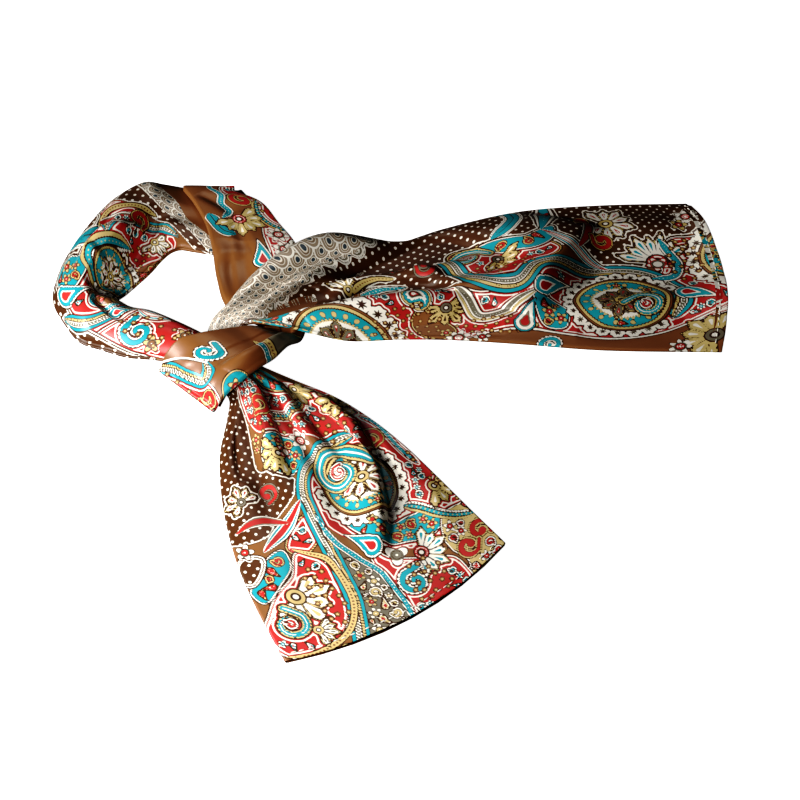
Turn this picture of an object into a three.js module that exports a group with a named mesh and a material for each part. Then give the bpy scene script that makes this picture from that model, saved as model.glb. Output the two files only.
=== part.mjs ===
// A silk cravat, tied once and laid on a table: a neck ring, a loose knot and two tails.
// It is one long flattened tube of silk. Each stretch that shows is a named mesh, in millimetres,
// with +Z up, the table at Z = 0 and the front of the picture towards -Y.

import * as THREE from 'three';

// Driving dimensions
const ply = 1.2; // wall of one layer of silk
const air = 0.4; // space left between the two layers of a tail
const seam = 0.3; // gap between neighbouring stretches
const bundleStep = 2.4; // height of the lowest folded layer at a bundle's edge
const bundleGroove = 1.4; // how far the groove above that layer goes in
const stationStep = 11; // wanted distance between sections along the cloth
const flat = 2 * ply + air;

// Colours of the cloth where each stretch shows
const silkBrown = 0x7a4a26;
const silkRed = 0xb8383c;
const silkPale = 0xb39a78;

// Each stretch runs between its two edges, a and b, given as [x, y, height of the underside].
// crown: height of the cloth over its underside, peak: where across the cloth the crown is highest,
// bow: how far the middle of the section lies ahead of the line between its edges.
// A fold runs from one share of the stretch's length to another. at, breadth and height have
// a value for its start and one for its end, at and breadth as shares of the cloth's width, height in mm.
// lean: how far the fold's top moves towards edge b, as a share of its height,
// guides: the lines along the cloth follow this fold.

const lowerTail = {
  name: 'lower_tail',
  color: silkRed,
  hollow: true,
  acrossSteps: 22,
  sections: [
    { a: [-117, 15, 2.7], b: [-101, 43, 2.7], crown: 12, peak: 0.5, bow: 0 },
    { a: [-104, 2, 2.7], b: [-84, 32, 2.7], crown: 9, peak: 0.5, bow: 0 },
    { a: [-104, -16, 0.6], b: [-62, 21, 0.6], crown: 7, peak: 0.5, bow: 1 },
    { a: [-107, -46, 0], b: [-33, 5, 0], crown: 4, peak: 0.5, bow: 3 },
    { a: [-105, -76, 0], b: [-8, -16, 0], crown: 3, peak: 0.5, bow: 6 },
    { a: [-100, -106, 0], b: [14, -40, 0], crown: 2, peak: 0.5, bow: 8 },
    { a: [-91, -140, 0], b: [34, -66, 0], crown: 1, peak: 0.5, bow: 11 },
    { a: [-78, -174, 0], b: [54, -93, 0], crown: 1, peak: 0.5, bow: 13 },
    { a: [-59, -215, 0], b: [76, -122, 0], crown: 1, peak: 0.5, bow: 15 },
  ],
  folds: [
    { from: 0.12, to: 0.85, at: [0.1, 0.1], breadth: [0.14, 0.14], height: [9, 1], lean: 0 },
    { from: 0.1, to: 1, at: [0.44, 0.36], breadth: [0.2, 0.2], height: [13, 1], lean: 0.35 },
    { from: 0.16, to: 1, at: [0.72, 0.6], breadth: [0.13, 0.2], height: [8, 1], lean: 0 },
    { from: 0.2, to: 1, at: [0.9, 0.88], breadth: [0.1, 0.14], height: [5, 1], lean: 0 },
  ],
};

const rightTail = {
  name: 'right_tail',
  color: silkBrown,
  hollow: true,
  acrossSteps: 26,
  sections: [
    { a: [-122, 62, 2.7], b: [-103, 59, 2.7], crown: 4, peak: 0.5, bow: 0 },
    { a: [-118, 72, 8], b: [-94, 64, 10.5], crown: 5, peak: 0.5, bow: 0 },
    { a: [-103, 92, 9.5], b: [-71, 60, 13], crown: 5, peak: 0.5, bow: 0 },
    { a: [-80, 121, 9], b: [-50, 58, 8], crown: 5, peak: 0.5, bow: 0 },
    { a: [-43, 149, 7], b: [-26, 57, 2], crown: 5, peak: 0.5, bow: 0 },
    { a: [0, 154, 0], b: [6, 60, 0], crown: 4, peak: 0.5, bow: 2 },
    { a: [42, 173, 0], b: [42, 60, 0], crown: 3, peak: 0.5, bow: 3 },
    { a: [95, 191, 0], b: [90, 56, 0], crown: 3, peak: 0.5, bow: 4 },
    { a: [155, 198, 0], b: [146, 50, 0], crown: 3, peak: 0.5, bow: 6 },
    { a: [217, 200, 0], b: [228, 48, 0], crown: 3, peak: 0.5, bow: 13 },
  ],
  folds: [
    { from: 0.06, to: 0.58, at: [0.2, 0.1], breadth: [0.2, 0.13], height: [7, 11], lean: 0 },
    { from: 0.14, to: 0.9, at: [0.5, 0.36], breadth: [0.14, 0.18], height: [11, 3], lean: 0 },
    { from: 0.14, to: 0.98, at: [0.84, 0.58], breadth: [0.2, 0.2], height: [13, 6], lean: 0 },
    { from: 0.68, to: 1, at: [0.92, 0.66], breadth: [0.1, 0.14], height: [5, 12], lean: 0.8, guides: true },
    { from: 0.6, to: 1, at: [0.24, 0.2], breadth: [0.2, 0.2], height: [3, 4], lean: 0 },
  ],
};

const knotUnder = {
  name: 'knot_under',
  color: silkBrown,
  acrossSteps: 4,
  sections: [
    { a: [-150, 31, 0], b: [-111, -7, 0], crown: 2.4, peak: 0.5, bow: 0 },
    { a: [-136, 46, 0], b: [-101, 24, 0], crown: 2.4, peak: 0.5, bow: 0 },
    { a: [-122, 63, 0], b: [-98, 59, 0], crown: 2.4, peak: 0.5, bow: 0 },
  ],
  folds: [],
};

const knotWrap = {
  name: 'knot_wrap',
  color: silkBrown,
  layered: true,
  acrossSteps: 14,
  sections: [
    { a: [-92, 75, 2.5], b: [-54, 68, 1.5], crown: 6, peak: 0.5, bow: 0 },
    { a: [-82, 66, 3.5], b: [-57, 56, 3], crown: 4.6, peak: 0.5, bow: 0 },
    { a: [-92, 59.5, 12], b: [-65, 44, 10], crown: 5, peak: 0.5, bow: 0 },
    { a: [-103, 54, 17.5], b: [-74, 29, 15], crown: 5, peak: 0.5, bow: 0 },
    { a: [-114, 48, 20.5], b: [-80, 21, 16.5], crown: 5, peak: 0.5, bow: 0 },
    { a: [-125, 43, 21], b: [-87, 13, 16], crown: 5, peak: 0.5, bow: 0 },
    { a: [-138, 39, 18], b: [-97, 3, 13], crown: 5, peak: 0.5, bow: 0 },
    { a: [-147, 34, 11], b: [-107, -5, 8.5], crown: 5, peak: 0.5, bow: 0 },
    { a: [-150, 31, 2.7], b: [-111, -7, 2.7], crown: 4.5, peak: 0.5, bow: 0 },
  ],
  folds: [
    { from: 0, to: 0.9, at: [0.6, 0.62], breadth: [0.2, 0.14], height: [-4, -3], lean: 0 },
    { from: 0.15, to: 1, at: [0.84, 0.84], breadth: [0.22, 0.22], height: [5, 2], lean: 0 },
  ],
};

const ringRight = {
  name: 'ring_right',
  color: silkPale,
  layered: true,
  acrossSteps: 14,
  sections: [
    { a: [-147, 205, 9], b: [-110, 207, 4.5], crown: 5, peak: 0.4, bow: 0 },
    { a: [-139, 192, 9], b: [-90, 195, 4.5], crown: 5, peak: 0.4, bow: 0 },
    { a: [-129, 170, 8], b: [-76, 172, 4.5], crown: 5, peak: 0.4, bow: 0 },
    { a: [-123, 146, 7], b: [-63, 149, 4.5], crown: 6, peak: 0.4, bow: 0 },
    { a: [-118, 118, 1], b: [-55, 122, 0.6], crown: 7, peak: 0.4, bow: 0 },
    { a: [-110, 92, 0], b: [-51, 94, 0], crown: 8, peak: 0.4, bow: 0 },
    { a: [-92, 75, 2.5], b: [-54, 68, 1.5], crown: 6, peak: 0.5, bow: 0 },
  ],
  folds: [
    { from: 0.2, to: 1, at: [0.42, 0.3], breadth: [0.14, 0.16], height: [-1, -3], lean: 0 },
  ],
};

const ringTop = {
  name: 'ring_top',
  color: silkPale,
  layered: true,
  acrossSteps: 16,
  sections: [
    { a: [-108, 213, 0], b: [-65, 147, 0], crown: 2.4, peak: 0.5, bow: 0 },
    { a: [-128, 213, 0], b: [-92, 150, 0], crown: 4, peak: 0.3, bow: 0 },
    { a: [-148, 214, 0], b: [-120, 146, 0], crown: 8, peak: 0.2, bow: 0 },
    { a: [-162, 214, 0], b: [-136, 149, 0], crown: 13, peak: 0.2, bow: 0 },
    { a: [-176, 212, 0], b: [-146, 151, 0], crown: 18, peak: 0.2, bow: 0 },
    { a: [-188, 204, 0], b: [-152, 148, 0], crown: 19, peak: 0.25, bow: 0 },
  ],
  folds: [
    { from: 0.3, to: 1, at: [0.5, 0.55], breadth: [0.2, 0.2], height: [-2, -5], lean: 0 },
  ],
};

const ringLeft = {
  name: 'ring_left',
  color: silkRed,
  layered: true,
  acrossSteps: 22,
  sections: [
    { a: [-188, 204, 0], b: [-152, 148, 0], crown: 19, peak: 0.25, bow: 0 },
    { a: [-202, 186, 0], b: [-158, 140, 0], crown: 23, peak: 0.3, bow: 0 },
    { a: [-212, 167, 0], b: [-165, 127, 0], crown: 25, peak: 0.35, bow: 0 },
    { a: [-222, 145, 0], b: [-173, 115, 0], crown: 26, peak: 0.4, bow: 0 },
    { a: [-230, 120, 0], b: [-181, 104, 0], crown: 25, peak: 0.45, bow: 0 },
    { a: [-231, 98, 0], b: [-187, 97, 0], crown: 23, peak: 0.5, bow: 0 },
    { a: [-220, 74, 0], b: [-188, 91, 0], crown: 20, peak: 0.5, bow: 0 },
  ],
  folds: [
    { from: 0.02, to: 0.95, at: [0.64, 0.72], breadth: [0.17, 0.17], height: [-15, -15], lean: 0 },
    { from: 0.1, to: 0.8, at: [0.3, 0.26], breadth: [0.09, 0.09], height: [-4, -3], lean: 0 },
  ],
};

const ringBottom = {
  name: 'ring_bottom',
  color: silkRed,
  layered: true,
  acrossSteps: 16,
  sections: [
    { a: [-220, 74, 0], b: [-188, 91, 0], crown: 20, peak: 0.5, bow: 0 },
    { a: [-208, 57, 0], b: [-181, 90, 0], crown: 20, peak: 0.5, bow: 0 },
    { a: [-193, 50, 0], b: [-171, 86, 0], crown: 19, peak: 0.5, bow: 0 },
    { a: [-175, 42, 1], b: [-158, 82, 1], crown: 18, peak: 0.5, bow: 0 },
    { a: [-156, 38, 2.7], b: [-142, 72, 2.7], crown: 16, peak: 0.5, bow: 0 },
    { a: [-135, 32, 2.7], b: [-122, 59, 2.7], crown: 14, peak: 0.5, bow: 0 },
    { a: [-117, 15, 2.7], b: [-101, 43, 2.7], crown: 12, peak: 0.5, bow: 0 },
  ],
  folds: [
    { from: 0, to: 0.5, at: [0.7, 0.4], breadth: [0.14, 0.12], height: [-5, -2], lean: 0 },
    { from: 0.25, to: 0.8, at: [0.75, 0.75], breadth: [0.2, 0.2], height: [2, 2], lean: 0 },
  ],
};

const stretches = [rightTail, lowerTail, knotUnder, knotWrap, ringRight, ringTop, ringLeft, ringBottom];

// Smooth curves through a stretch's section table
function curvesOf(stretch) {
  const through = (pick) => new THREE.CatmullRomCurve3(stretch.sections.map(pick));
  return {
    a: through((row) => new THREE.Vector3(...row.a)),
    b: through((row) => new THREE.Vector3(...row.b)),
    form: through((row) => new THREE.Vector3(row.crown, row.peak, row.bow)),
  };
}

// Height of all folds at one point of the cloth, and how far they push it towards edge b
function foldsAt(stretch, along, across) {
  const sum = { height: 0, push: 0 };
  for (const fold of stretch.folds) {
    const share = (along - fold.from) / (fold.to - fold.from);
    if (share < 0 || share > 1) continue;
    const at = THREE.MathUtils.lerp(...fold.at, share);
    const breadth = THREE.MathUtils.lerp(...fold.breadth, share);
    const distance = Math.min(Math.abs(across - at) / breadth, 1);
    const startFade = fold.from > 0 ? THREE.MathUtils.smoothstep(share, 0, 0.25) : 1;
    const endFade = fold.to < 1 ? 1 - THREE.MathUtils.smoothstep(share, 0.6, 1) : 1;
    const bump = 0.5 + 0.5 * Math.cos(Math.PI * distance);
    const height = THREE.MathUtils.lerp(...fold.height, share) * bump * startFade * endFade;
    sum.height += height;
    sum.push += height * fold.lean;
  }
  return sum;
}

// Share of the width at one share of the points across, drawn towards the fold that guides them
function acrossAt(stretch, along, share) {
  const guide = stretch.folds.find((fold) => fold.guides);
  if (!guide) return stretch.hollow ? share : 0.5 - 0.5 * Math.cos(Math.PI * share);
  const middle = (guide.at[0] + guide.at[1]) / 2;
  const reached = THREE.MathUtils.clamp((along - guide.from) / (guide.to - guide.from), 0, 1);
  const at = THREE.MathUtils.lerp(...guide.at, reached);
  return share < middle ? (share / middle) * at : 1 - ((1 - share) / (1 - middle)) * (1 - at);
}

// The upper side of one section, as [share of the width, height] from edge a to edge b
function upperSide(stretch, along, width, crown, peak) {
  const foot = stretch.hollow ? flat : stretch.layered ? bundleStep + 1.2 : crown;
  const skew = Math.log(0.5) / Math.log(peak);
  const points = [];
  for (let step = 0; step <= stretch.acrossSteps; step += 1) {
    const across = acrossAt(stretch, along, step / stretch.acrossSteps);
    const arch = Math.sin(Math.PI * across ** skew) ** (stretch.hollow ? 1 : 0.6);
    const fold = foldsAt(stretch, along, across);
    const rise = Math.max(0, crown - foot) * arch + fold.height;
    points.push([across + fold.push / width, foot + Math.max(0, rise)]);
  }
  return points;
}

// The closed outline of one section, with the groove between layers at a bundle's edges
function outline(stretch, along, width, crown, peak) {
  const upper = upperSide(stretch, along, width, crown, peak);
  const groove = bundleGroove / width;
  const edge = [[0, 0], [0, bundleStep], [groove, bundleStep + 0.3], [groove, bundleStep + 0.9]];
  const edgeA = stretch.layered ? edge : [[0, 0]];
  const edgeB = edgeA.map(([across, height]) => [1 - across, height]).reverse();
  const under = [];
  for (let step = 1; step < 4; step += 1) under.push([1 - step / 4, 0]);
  return [...edgeA, ...upper, ...edgeB, ...under];
}

// The same outline moved inwards by one wall
function inset(points, width) {
  return points.map((point, index) => {
    const before = points[(index + points.length - 1) % points.length];
    const after = points[(index + 1) % points.length];
    const into = new THREE.Vector2((point[0] - before[0]) * width, point[1] - before[1]).normalize();
    const out = new THREE.Vector2((after[0] - point[0]) * width, after[1] - point[1]).normalize();
    const normal = new THREE.Vector2(into.y + out.y, -into.x - out.x).normalize();
    const mitre = ply / Math.max(0.5, normal.x * into.y - normal.y * into.x);
    return [point[0] + (normal.x * mitre) / width, point[1] + normal.y * mitre];
  });
}

// Places an outline between the two edges at one station
function place(points, a, b, bow, ahead) {
  return points.map(([across, height]) => {
    const place = new THREE.Vector3().lerpVectors(a, b, across);
    place.addScaledVector(ahead, bow * 4 * across * (1 - across));
    place.z += height;
    return place;
  });
}

// Share of the length to leave free at one end, so that half a seam's gap is left at both edges
function endTrim(curves, end) {
  const near = Math.abs(end - 0.01);
  const moved = [curves.a, curves.b].map((edge) => edge.getPoint(end).distanceTo(edge.getPoint(near)));
  return (0.01 * seam) / 2 / Math.min(...moved);
}

// 1 where edge b is on the right of someone who walks along the stretch, -1 where it is on the left
function handOf(stretch) {
  const first = stretch.sections[0];
  const last = stretch.sections.at(-1);
  const across = [first.b[0] - first.a[0], first.b[1] - first.a[1]];
  const along = [last.a[0] - first.a[0], last.a[1] - first.a[1]];
  return Math.sign(across[0] * along[1] - across[1] * along[0]);
}

// A closed solid through all of a stretch's sections
function stretchGeometry(stretch) {
  const curves = curvesOf(stretch);
  const length = (curves.a.getLength() + curves.b.getLength()) / 2;
  const steps = Math.max(4, Math.round(length / (stretch.stationStep ?? stationStep)));
  const start = endTrim(curves, 0);
  const stop = 1 - endTrim(curves, 1);
  const hand = handOf(stretch);
  const vertices = [];
  const triangles = [];
  const rings = [];
  for (let step = 0; step <= steps; step += 1) {
    const along = THREE.MathUtils.lerp(start, stop, step / steps);
    const [a, b] = [curves.a, curves.b].map((edge) => edge.getPoint(along));
    a.z = Math.max(0, a.z);
    b.z = Math.max(0, b.z);
    const form = curves.form.getPoint(along);
    const width = a.distanceTo(b);
    const ahead = new THREE.Vector3(a.y - b.y, b.x - a.x, 0).normalize().multiplyScalar(hand);
    const outer = outline(stretch, along, width, form.x, form.y);
    const layers = stretch.hollow ? [outer, inset(outer, width)] : [outer];
    rings.push(layers.map((points) => {
      const first = vertices.length;
      vertices.push(...place(points, a, b, form.z, ahead));
      return { first, points, width };
    }));
  }
  const face = (p, q, r) => triangles.push(...(hand > 0 ? [p, q, r] : [p, r, q]));
  const quad = (p, q, r, s) => {
    face(p, q, r);
    face(p, r, s);
  };
  const count = rings[0][0].points.length;
  for (let step = 0; step < steps; step += 1) {
    rings[step].forEach((ring, layer) => {
      const next = rings[step + 1][layer];
      for (let index = 0; index < count; index += 1) {
        const after = (index + 1) % count;
        const corners = [ring.first + index, ring.first + after, next.first + after, next.first + index];
        quad(...(layer === 0 ? corners : corners.reverse()));
      }
    });
  }
  [rings[0], rings[steps]].forEach(([outer, inner], end) => {
    if (inner) {
      for (let index = 0; index < count; index += 1) {
        const after = (index + 1) % count;
        const corners = [outer.first + index, inner.first + index, inner.first + after, outer.first + after];
        quad(...(end === 0 ? corners : corners.reverse()));
      }
      return;
    }
    const contour = outer.points.map(([across, height]) => new THREE.Vector2(across * outer.width, height));
    for (const [p, q, r] of THREE.ShapeUtils.triangulateShape(contour, [])) {
      const corners = [outer.first + p, outer.first + q, outer.first + r];
      face(...(end === 0 ? corners : corners.reverse()));
    }
  });
  const geometry = new THREE.BufferGeometry().setFromPoints(vertices);
  geometry.setIndex(triangles);
  geometry.computeVertexNormals();
  return geometry;
}

function stretchMesh(stretch) {
  const material = new THREE.MeshStandardMaterial({ color: stretch.color, roughness: 0.4, metalness: 0 });
  const mesh = new THREE.Mesh(stretchGeometry(stretch), material);
  mesh.name = stretch.name;
  return mesh;
}

const cravat = new THREE.Group();
cravat.name = 'silk_cravat';
for (const stretch of stretches) cravat.add(stretchMesh(stretch));

export default cravat;
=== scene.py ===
import bpy
import bmesh
import math
import numpy as np
from mathutils import Matrix, Vector


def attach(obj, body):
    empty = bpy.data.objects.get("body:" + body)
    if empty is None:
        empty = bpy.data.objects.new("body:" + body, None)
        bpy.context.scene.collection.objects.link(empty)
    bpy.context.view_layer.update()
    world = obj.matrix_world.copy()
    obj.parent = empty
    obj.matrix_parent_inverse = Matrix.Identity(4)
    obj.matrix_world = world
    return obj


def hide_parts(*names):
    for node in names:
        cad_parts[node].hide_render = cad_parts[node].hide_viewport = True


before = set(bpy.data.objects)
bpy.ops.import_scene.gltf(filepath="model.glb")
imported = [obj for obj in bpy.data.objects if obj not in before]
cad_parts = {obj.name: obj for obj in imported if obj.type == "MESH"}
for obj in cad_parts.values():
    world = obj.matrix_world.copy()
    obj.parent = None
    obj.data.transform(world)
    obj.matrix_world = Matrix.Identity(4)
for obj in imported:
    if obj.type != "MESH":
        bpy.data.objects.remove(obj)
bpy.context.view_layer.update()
mm = 0.001
print("frame loaded:", sorted(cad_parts))


def throughRows(rows, along):  # smooth line through a table's rows, with even shares of the length per row
    rows = np.asarray(rows, float)
    last = len(rows) - 1
    padded = np.vstack([2 * rows[0] - rows[1], rows, 2 * rows[-1] - rows[-2]])
    step = np.clip(np.asarray(along, float) * last, 0, last - 1e-9)
    index = step.astype(int)
    w = (step - index)[:, None]
    p0, p1, p2, p3 = (padded[index + k] for k in range(4))
    g0, g1, g2 = (((q - p) ** 2).sum(1)[:, None] ** 0.25 for p, q in ((p0, p1), (p1, p2), (p2, p3)))
    g1 = np.where(g1 < 1e-4, 1, g1)  # rows at one place
    g0 = np.where(g0 < 1e-4, g1, g0)
    g2 = np.where(g2 < 1e-4, g1, g2)
    t1 = ((p1 - p0) / g0 - (p2 - p0) / (g0 + g1) + (p2 - p1) / g1) * g1
    t2 = ((p2 - p1) / g1 - (p3 - p1) / (g1 + g2) + (p3 - p2) / g2) * g1
    return p1 + t1 * w + (3 * (p2 - p1) - 2 * t1 - t2) * w**2 + (2 * (p1 - p2) + t1 + t2) * w**3


def evenSteps(cloth):  # stations at an even spacing along the middle of the cloth
    fine = np.linspace(0, 1, 3001)
    middle = sum(throughRows([row[k] for row in cloth["rows"]], fine) for k in (0, 1)) / 2
    run = np.concatenate([[0], np.cumsum(np.linalg.norm(np.diff(middle, axis=0), axis=1))])
    flatU = np.linspace(0, run[-1], int(run[-1] / cloth["spacing"]) + 1)
    return np.interp(flatU, run, fine), flatU


def soften(values, steps):  # rounds off the corners of a stepped line
    window = np.hanning(2 * steps + 3)[1:-1]
    padded = np.concatenate([np.repeat(values[:1], steps), values, np.repeat(values[-1:], steps)])
    return np.convolve(padded, window / window.sum(), "valid")


def foldForm(cloth, along, across):  # height of the folds, and how far they lean towards edge b
    height = np.zeros(across.shape)
    push = np.zeros(across.shape)
    rowAt = along * (len(cloth["rows"]) - 1)
    steps = int(cloth["foldEase"] / cloth["spacing"])
    for fold in cloth["folds"]:
        at, breadth, rise = (soften(np.interp(rowAt, fold["row"], fold[k]), steps)[:, None]
                             for k in ("at", "breadth", "height"))
        distance = np.minimum(np.abs(across - at) / breadth, 1)
        bump = rise * (0.5 + 0.5 * np.cos(np.pi * distance))
        height += bump
        push += bump * fold.get("lean", 0)
    return height, push


edgeForms = {  # mm: height of the cloth at its edge, as the solids have it, and radius of the folded edge
    "tube": {"foot": 2.8, "roll": 1.4},
    "folded": {"foot": 4.2, "roll": 1.2},
}
# Two folded layers show at an edge as a groove, with the rounded edge of the upper layer above it, in mm
layerGroove = {"out": [[1.3, 3.0, 3.0, 1.3]], "height": [[2.45, 2.55, 2.75, 2.8]]}
upperRoll = {"centre": 1.2, "radius": 0.9, "start": 2.8}


def layCloth(cloth):  # the laid form of a stretch, as a grid of places with its flat measures
    along, flatU = evenSteps(cloth)
    edgeA, edgeB = (throughRows([row[k] for row in cloth["rows"]], along) for k in (0, 1))
    for edge in (edgeA, edgeB):
        edge[:, 2] = np.maximum(edge[:, 2], 0)
    crown, peak, bow = (c[:, None] for c in throughRows([row[2] for row in cloth["rows"]], along).T)
    width = np.linalg.norm(edgeB - edgeA, axis=1)[:, None]
    hollow = cloth["hollow"]
    edgeForm = edgeForms["tube" if hollow else "folded"]
    foot, roll = edgeForm["foot"], edgeForm["roll"]
    share = np.linspace(0, 1, cloth["columns"])[None]
    if not hollow:  # closer columns towards both edges
        share = 0.3 * share + 0.7 * (0.5 - 0.5 * np.cos(np.pi * share))
    across = np.repeat(share, len(along), axis=0)
    arch = np.sin(np.pi * across ** (math.log(0.5) / np.log(peak))) ** (1 if hollow else 0.6)
    fold, push = foldForm(cloth, along, across)
    top = foot + np.maximum(0, np.maximum(0, crown - foot) * arch + fold)
    side = roll + across * (width - 2 * roll) + push

    turn = np.linspace(-90, 90, 7)[1:-1] * math.pi / 180
    backShare = np.linspace(0.5, 0, cloth["backColumns"])[None]

    def edgeLoop(end):  # from the underside, round the folded edge, up to the upper side
        topHeight = top[:, :1] if end == "a" else top[:, -1:]
        rest = np.ones((len(along), 1))
        back = backShare * (width - 2 * roll) + roll
        outs = [back, roll - roll * np.cos(turn) * rest]
        if not cloth.get("grooved", not hollow):
            heights = [0 * back, topHeight / 2 * (1 + np.sin(turn))]
            return np.hstack(outs), np.hstack(heights)
        start = upperRoll["start"]
        outs += [layerGroove["out"] * rest, upperRoll["centre"] - upperRoll["radius"] * np.cos(turn) * rest]
        heights = [0 * back, roll + roll * np.sin(turn) * rest, layerGroove["height"] * rest,
                   start + (topHeight - start) / 2 * (1 + np.sin(turn))]
        return np.hstack(outs), np.hstack(heights)

    outA, heightA = edgeLoop("a")
    outB, heightB = edgeLoop("b")
    s = np.hstack([outA, side, (width - outB)[:, ::-1]])
    h = np.hstack([heightA, top, heightB[:, ::-1]])
    first = outA.shape[1]
    front = slice(first, first + cloth["columns"])

    # Flat measure round the cloth, from edge a of the upper side
    stepS, stepH = (np.diff(part, axis=1, prepend=part[:, :1]) for part in (s, h))
    arc = np.cumsum(np.hypot(stepS, stepH), axis=1)
    arc -= arc[:, first:first + 1]
    upper = arc[:, front][:, -1:]
    flatV = arc.copy()
    if hollow:
        quarter = cloth["cut"][0] / mm / 4
        gathered = (2 * quarter / upper) ** 0.6  # pleats take up part of the width
        flatV[:, front] = quarter + (arc[:, front] - upper / 2) * gathered
        before, after = arc[:, :first + 1], arc[:, front.stop - 1:]
        near, far = flatV[:, first:first + 1].copy(), flatV[:, front.stop - 1:front.stop].copy()
        flatV[:, :first + 1] = near + before / before[:, :1] * (-quarter - near)
        flatV[:, front.stop - 1:] = far + (after - upper) / (after[:, -1:] - upper) * (3 * quarter - far)

    ahead = np.stack([edgeA[:, 1] - edgeB[:, 1], edgeB[:, 0] - edgeA[:, 0], 0 * along], axis=1)
    ahead /= np.linalg.norm(ahead, axis=1)[:, None]
    ahead *= np.sign((ahead[0] * (edgeA[-1] - edgeA[0])).sum())
    where = (s / width)[:, :, None]
    eased = np.clip(where, 0, 1)
    place = edgeA[:, None] + where * (edgeB - edgeA)[:, None]
    place += ahead[:, None] * (bow[:, :, None] * 4 * eased * (1 - eased))
    place[:, :, 2] += h
    u = np.repeat(flatU[:, None], s.shape[1], axis=1)
    return {"place": place, "u": u, "v": flatV, "front": front, "ahead": ahead}


def outwards(laid):  # directions out of the cloth's upper side
    place = laid["place"]
    side = np.cross(np.gradient(place, axis=0), np.gradient(place, axis=1))
    side /= np.maximum(np.linalg.norm(side, axis=2, keepdims=True), 1e-9)
    return side * np.sign(side[:, laid["front"], 2].mean())


leastHeight = 2.2  # mm, so that the upper side stays above the lower one
easeColumns = 8  # columns over which a crease runs out at the folded edges


def pressCreases(cloth, laid):  # soft ridges and troughs, each a line on the flat cloth
    u, v = laid["u"], laid["v"]
    depth = np.zeros(u.shape)
    for rise, left, right, places in cloth["creases"]:
        line = throughRows(places, np.linspace(0, 1, 6 * len(places)))
        away, run, across = strand(u, v, line, np.zeros(len(line)))[:3]
        length = np.linalg.norm(np.diff(line, axis=0), axis=1).sum()
        taper = np.sin(np.pi * np.clip(run / length, 0, 1)) ** 0.6
        broad = np.where(across > 0, right, left)
        depth += rise * taper * np.exp(-((away / broad) ** 2))
    # A faint unevenness, so that no stretch is quite smooth
    wave = np.sin(u / 9 + 1.7 * np.sin(v / 13 + u / 61)) * np.sin(v / 6.5 + 2 * np.sin(u / 37))
    depth += cloth["ripple"] * wave
    front = laid["front"]
    edge = np.zeros(u.shape[1])
    column = np.arange(cloth["columns"])
    edge[front] = np.clip(np.minimum(column, column[::-1]) / easeColumns, 0, 1)
    least = laid["place"][:, :, 2].copy()
    least[:, front] = np.minimum(least[:, front], leastHeight)
    laid["place"] += outwards(laid) * (depth * edge)[:, :, None]
    laid["place"][:, :, 2] = np.maximum(laid["place"][:, :, 2], least * (edge > 0))


def addRows(laid, end, added, beyond):  # more rows at an end of the cloth, with their flat measures
    atStart = end == "start"
    last = slice(0, 1) if atStart else slice(-1, None)
    past = np.asarray(beyond, float)[:, None] * (-1 if atStart else 1)
    more = {"place": np.array(added), "u": laid["u"][last] + past}
    more["v"] = np.repeat(laid["v"][last], len(added), axis=0)
    for key, rows in more.items():
        laid[key] = np.concatenate([rows[::-1], laid[key]] if atStart else [laid[key], rows])


hemRows = [(0.3, 0.1), (0.45, 0.4), (0.2, 0.75), (-1.2, 0.8), (-4, 0.8), (-8, 0.8)]  # past the end, inwards
hemLeast = 0.05  # mm above the floor


def turnIn(laid):  # a hem at the end of the cloth
    place, ahead, inwards = laid["place"][-1], laid["ahead"][-1], -outwards(laid)[-1]
    added = [place + ahead * beyond + inwards * inset for beyond, inset in hemRows]
    for row in added:
        row[:, 2] = np.maximum(row[:, 2], hemLeast)
    addRows(laid, "end", added, [abs(step[0]) for step in hemRows])


closeTurns = [25, 48, 68, 82, 90]  # degrees at which the rows of a rounded end lie


def closeEnd(laid, end, reach):  # rounds an end over, until the upper side meets the lower one
    last, way = (0, -1) if end == "start" else (-1, 1)
    place, ahead = laid["place"][last], laid["ahead"][last] * way
    middle = (place[:, 2].max() + place[:, 2].min()) / 2
    added = []
    for turn in np.radians(closeTurns):
        row = place + ahead * reach * math.sin(turn)
        row[:, 2] = middle + (place[:, 2] - middle) * math.cos(turn)
        added.append(row)
    addRows(laid, end, added, np.linspace(1, reach * 1.5, len(added)))


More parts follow.
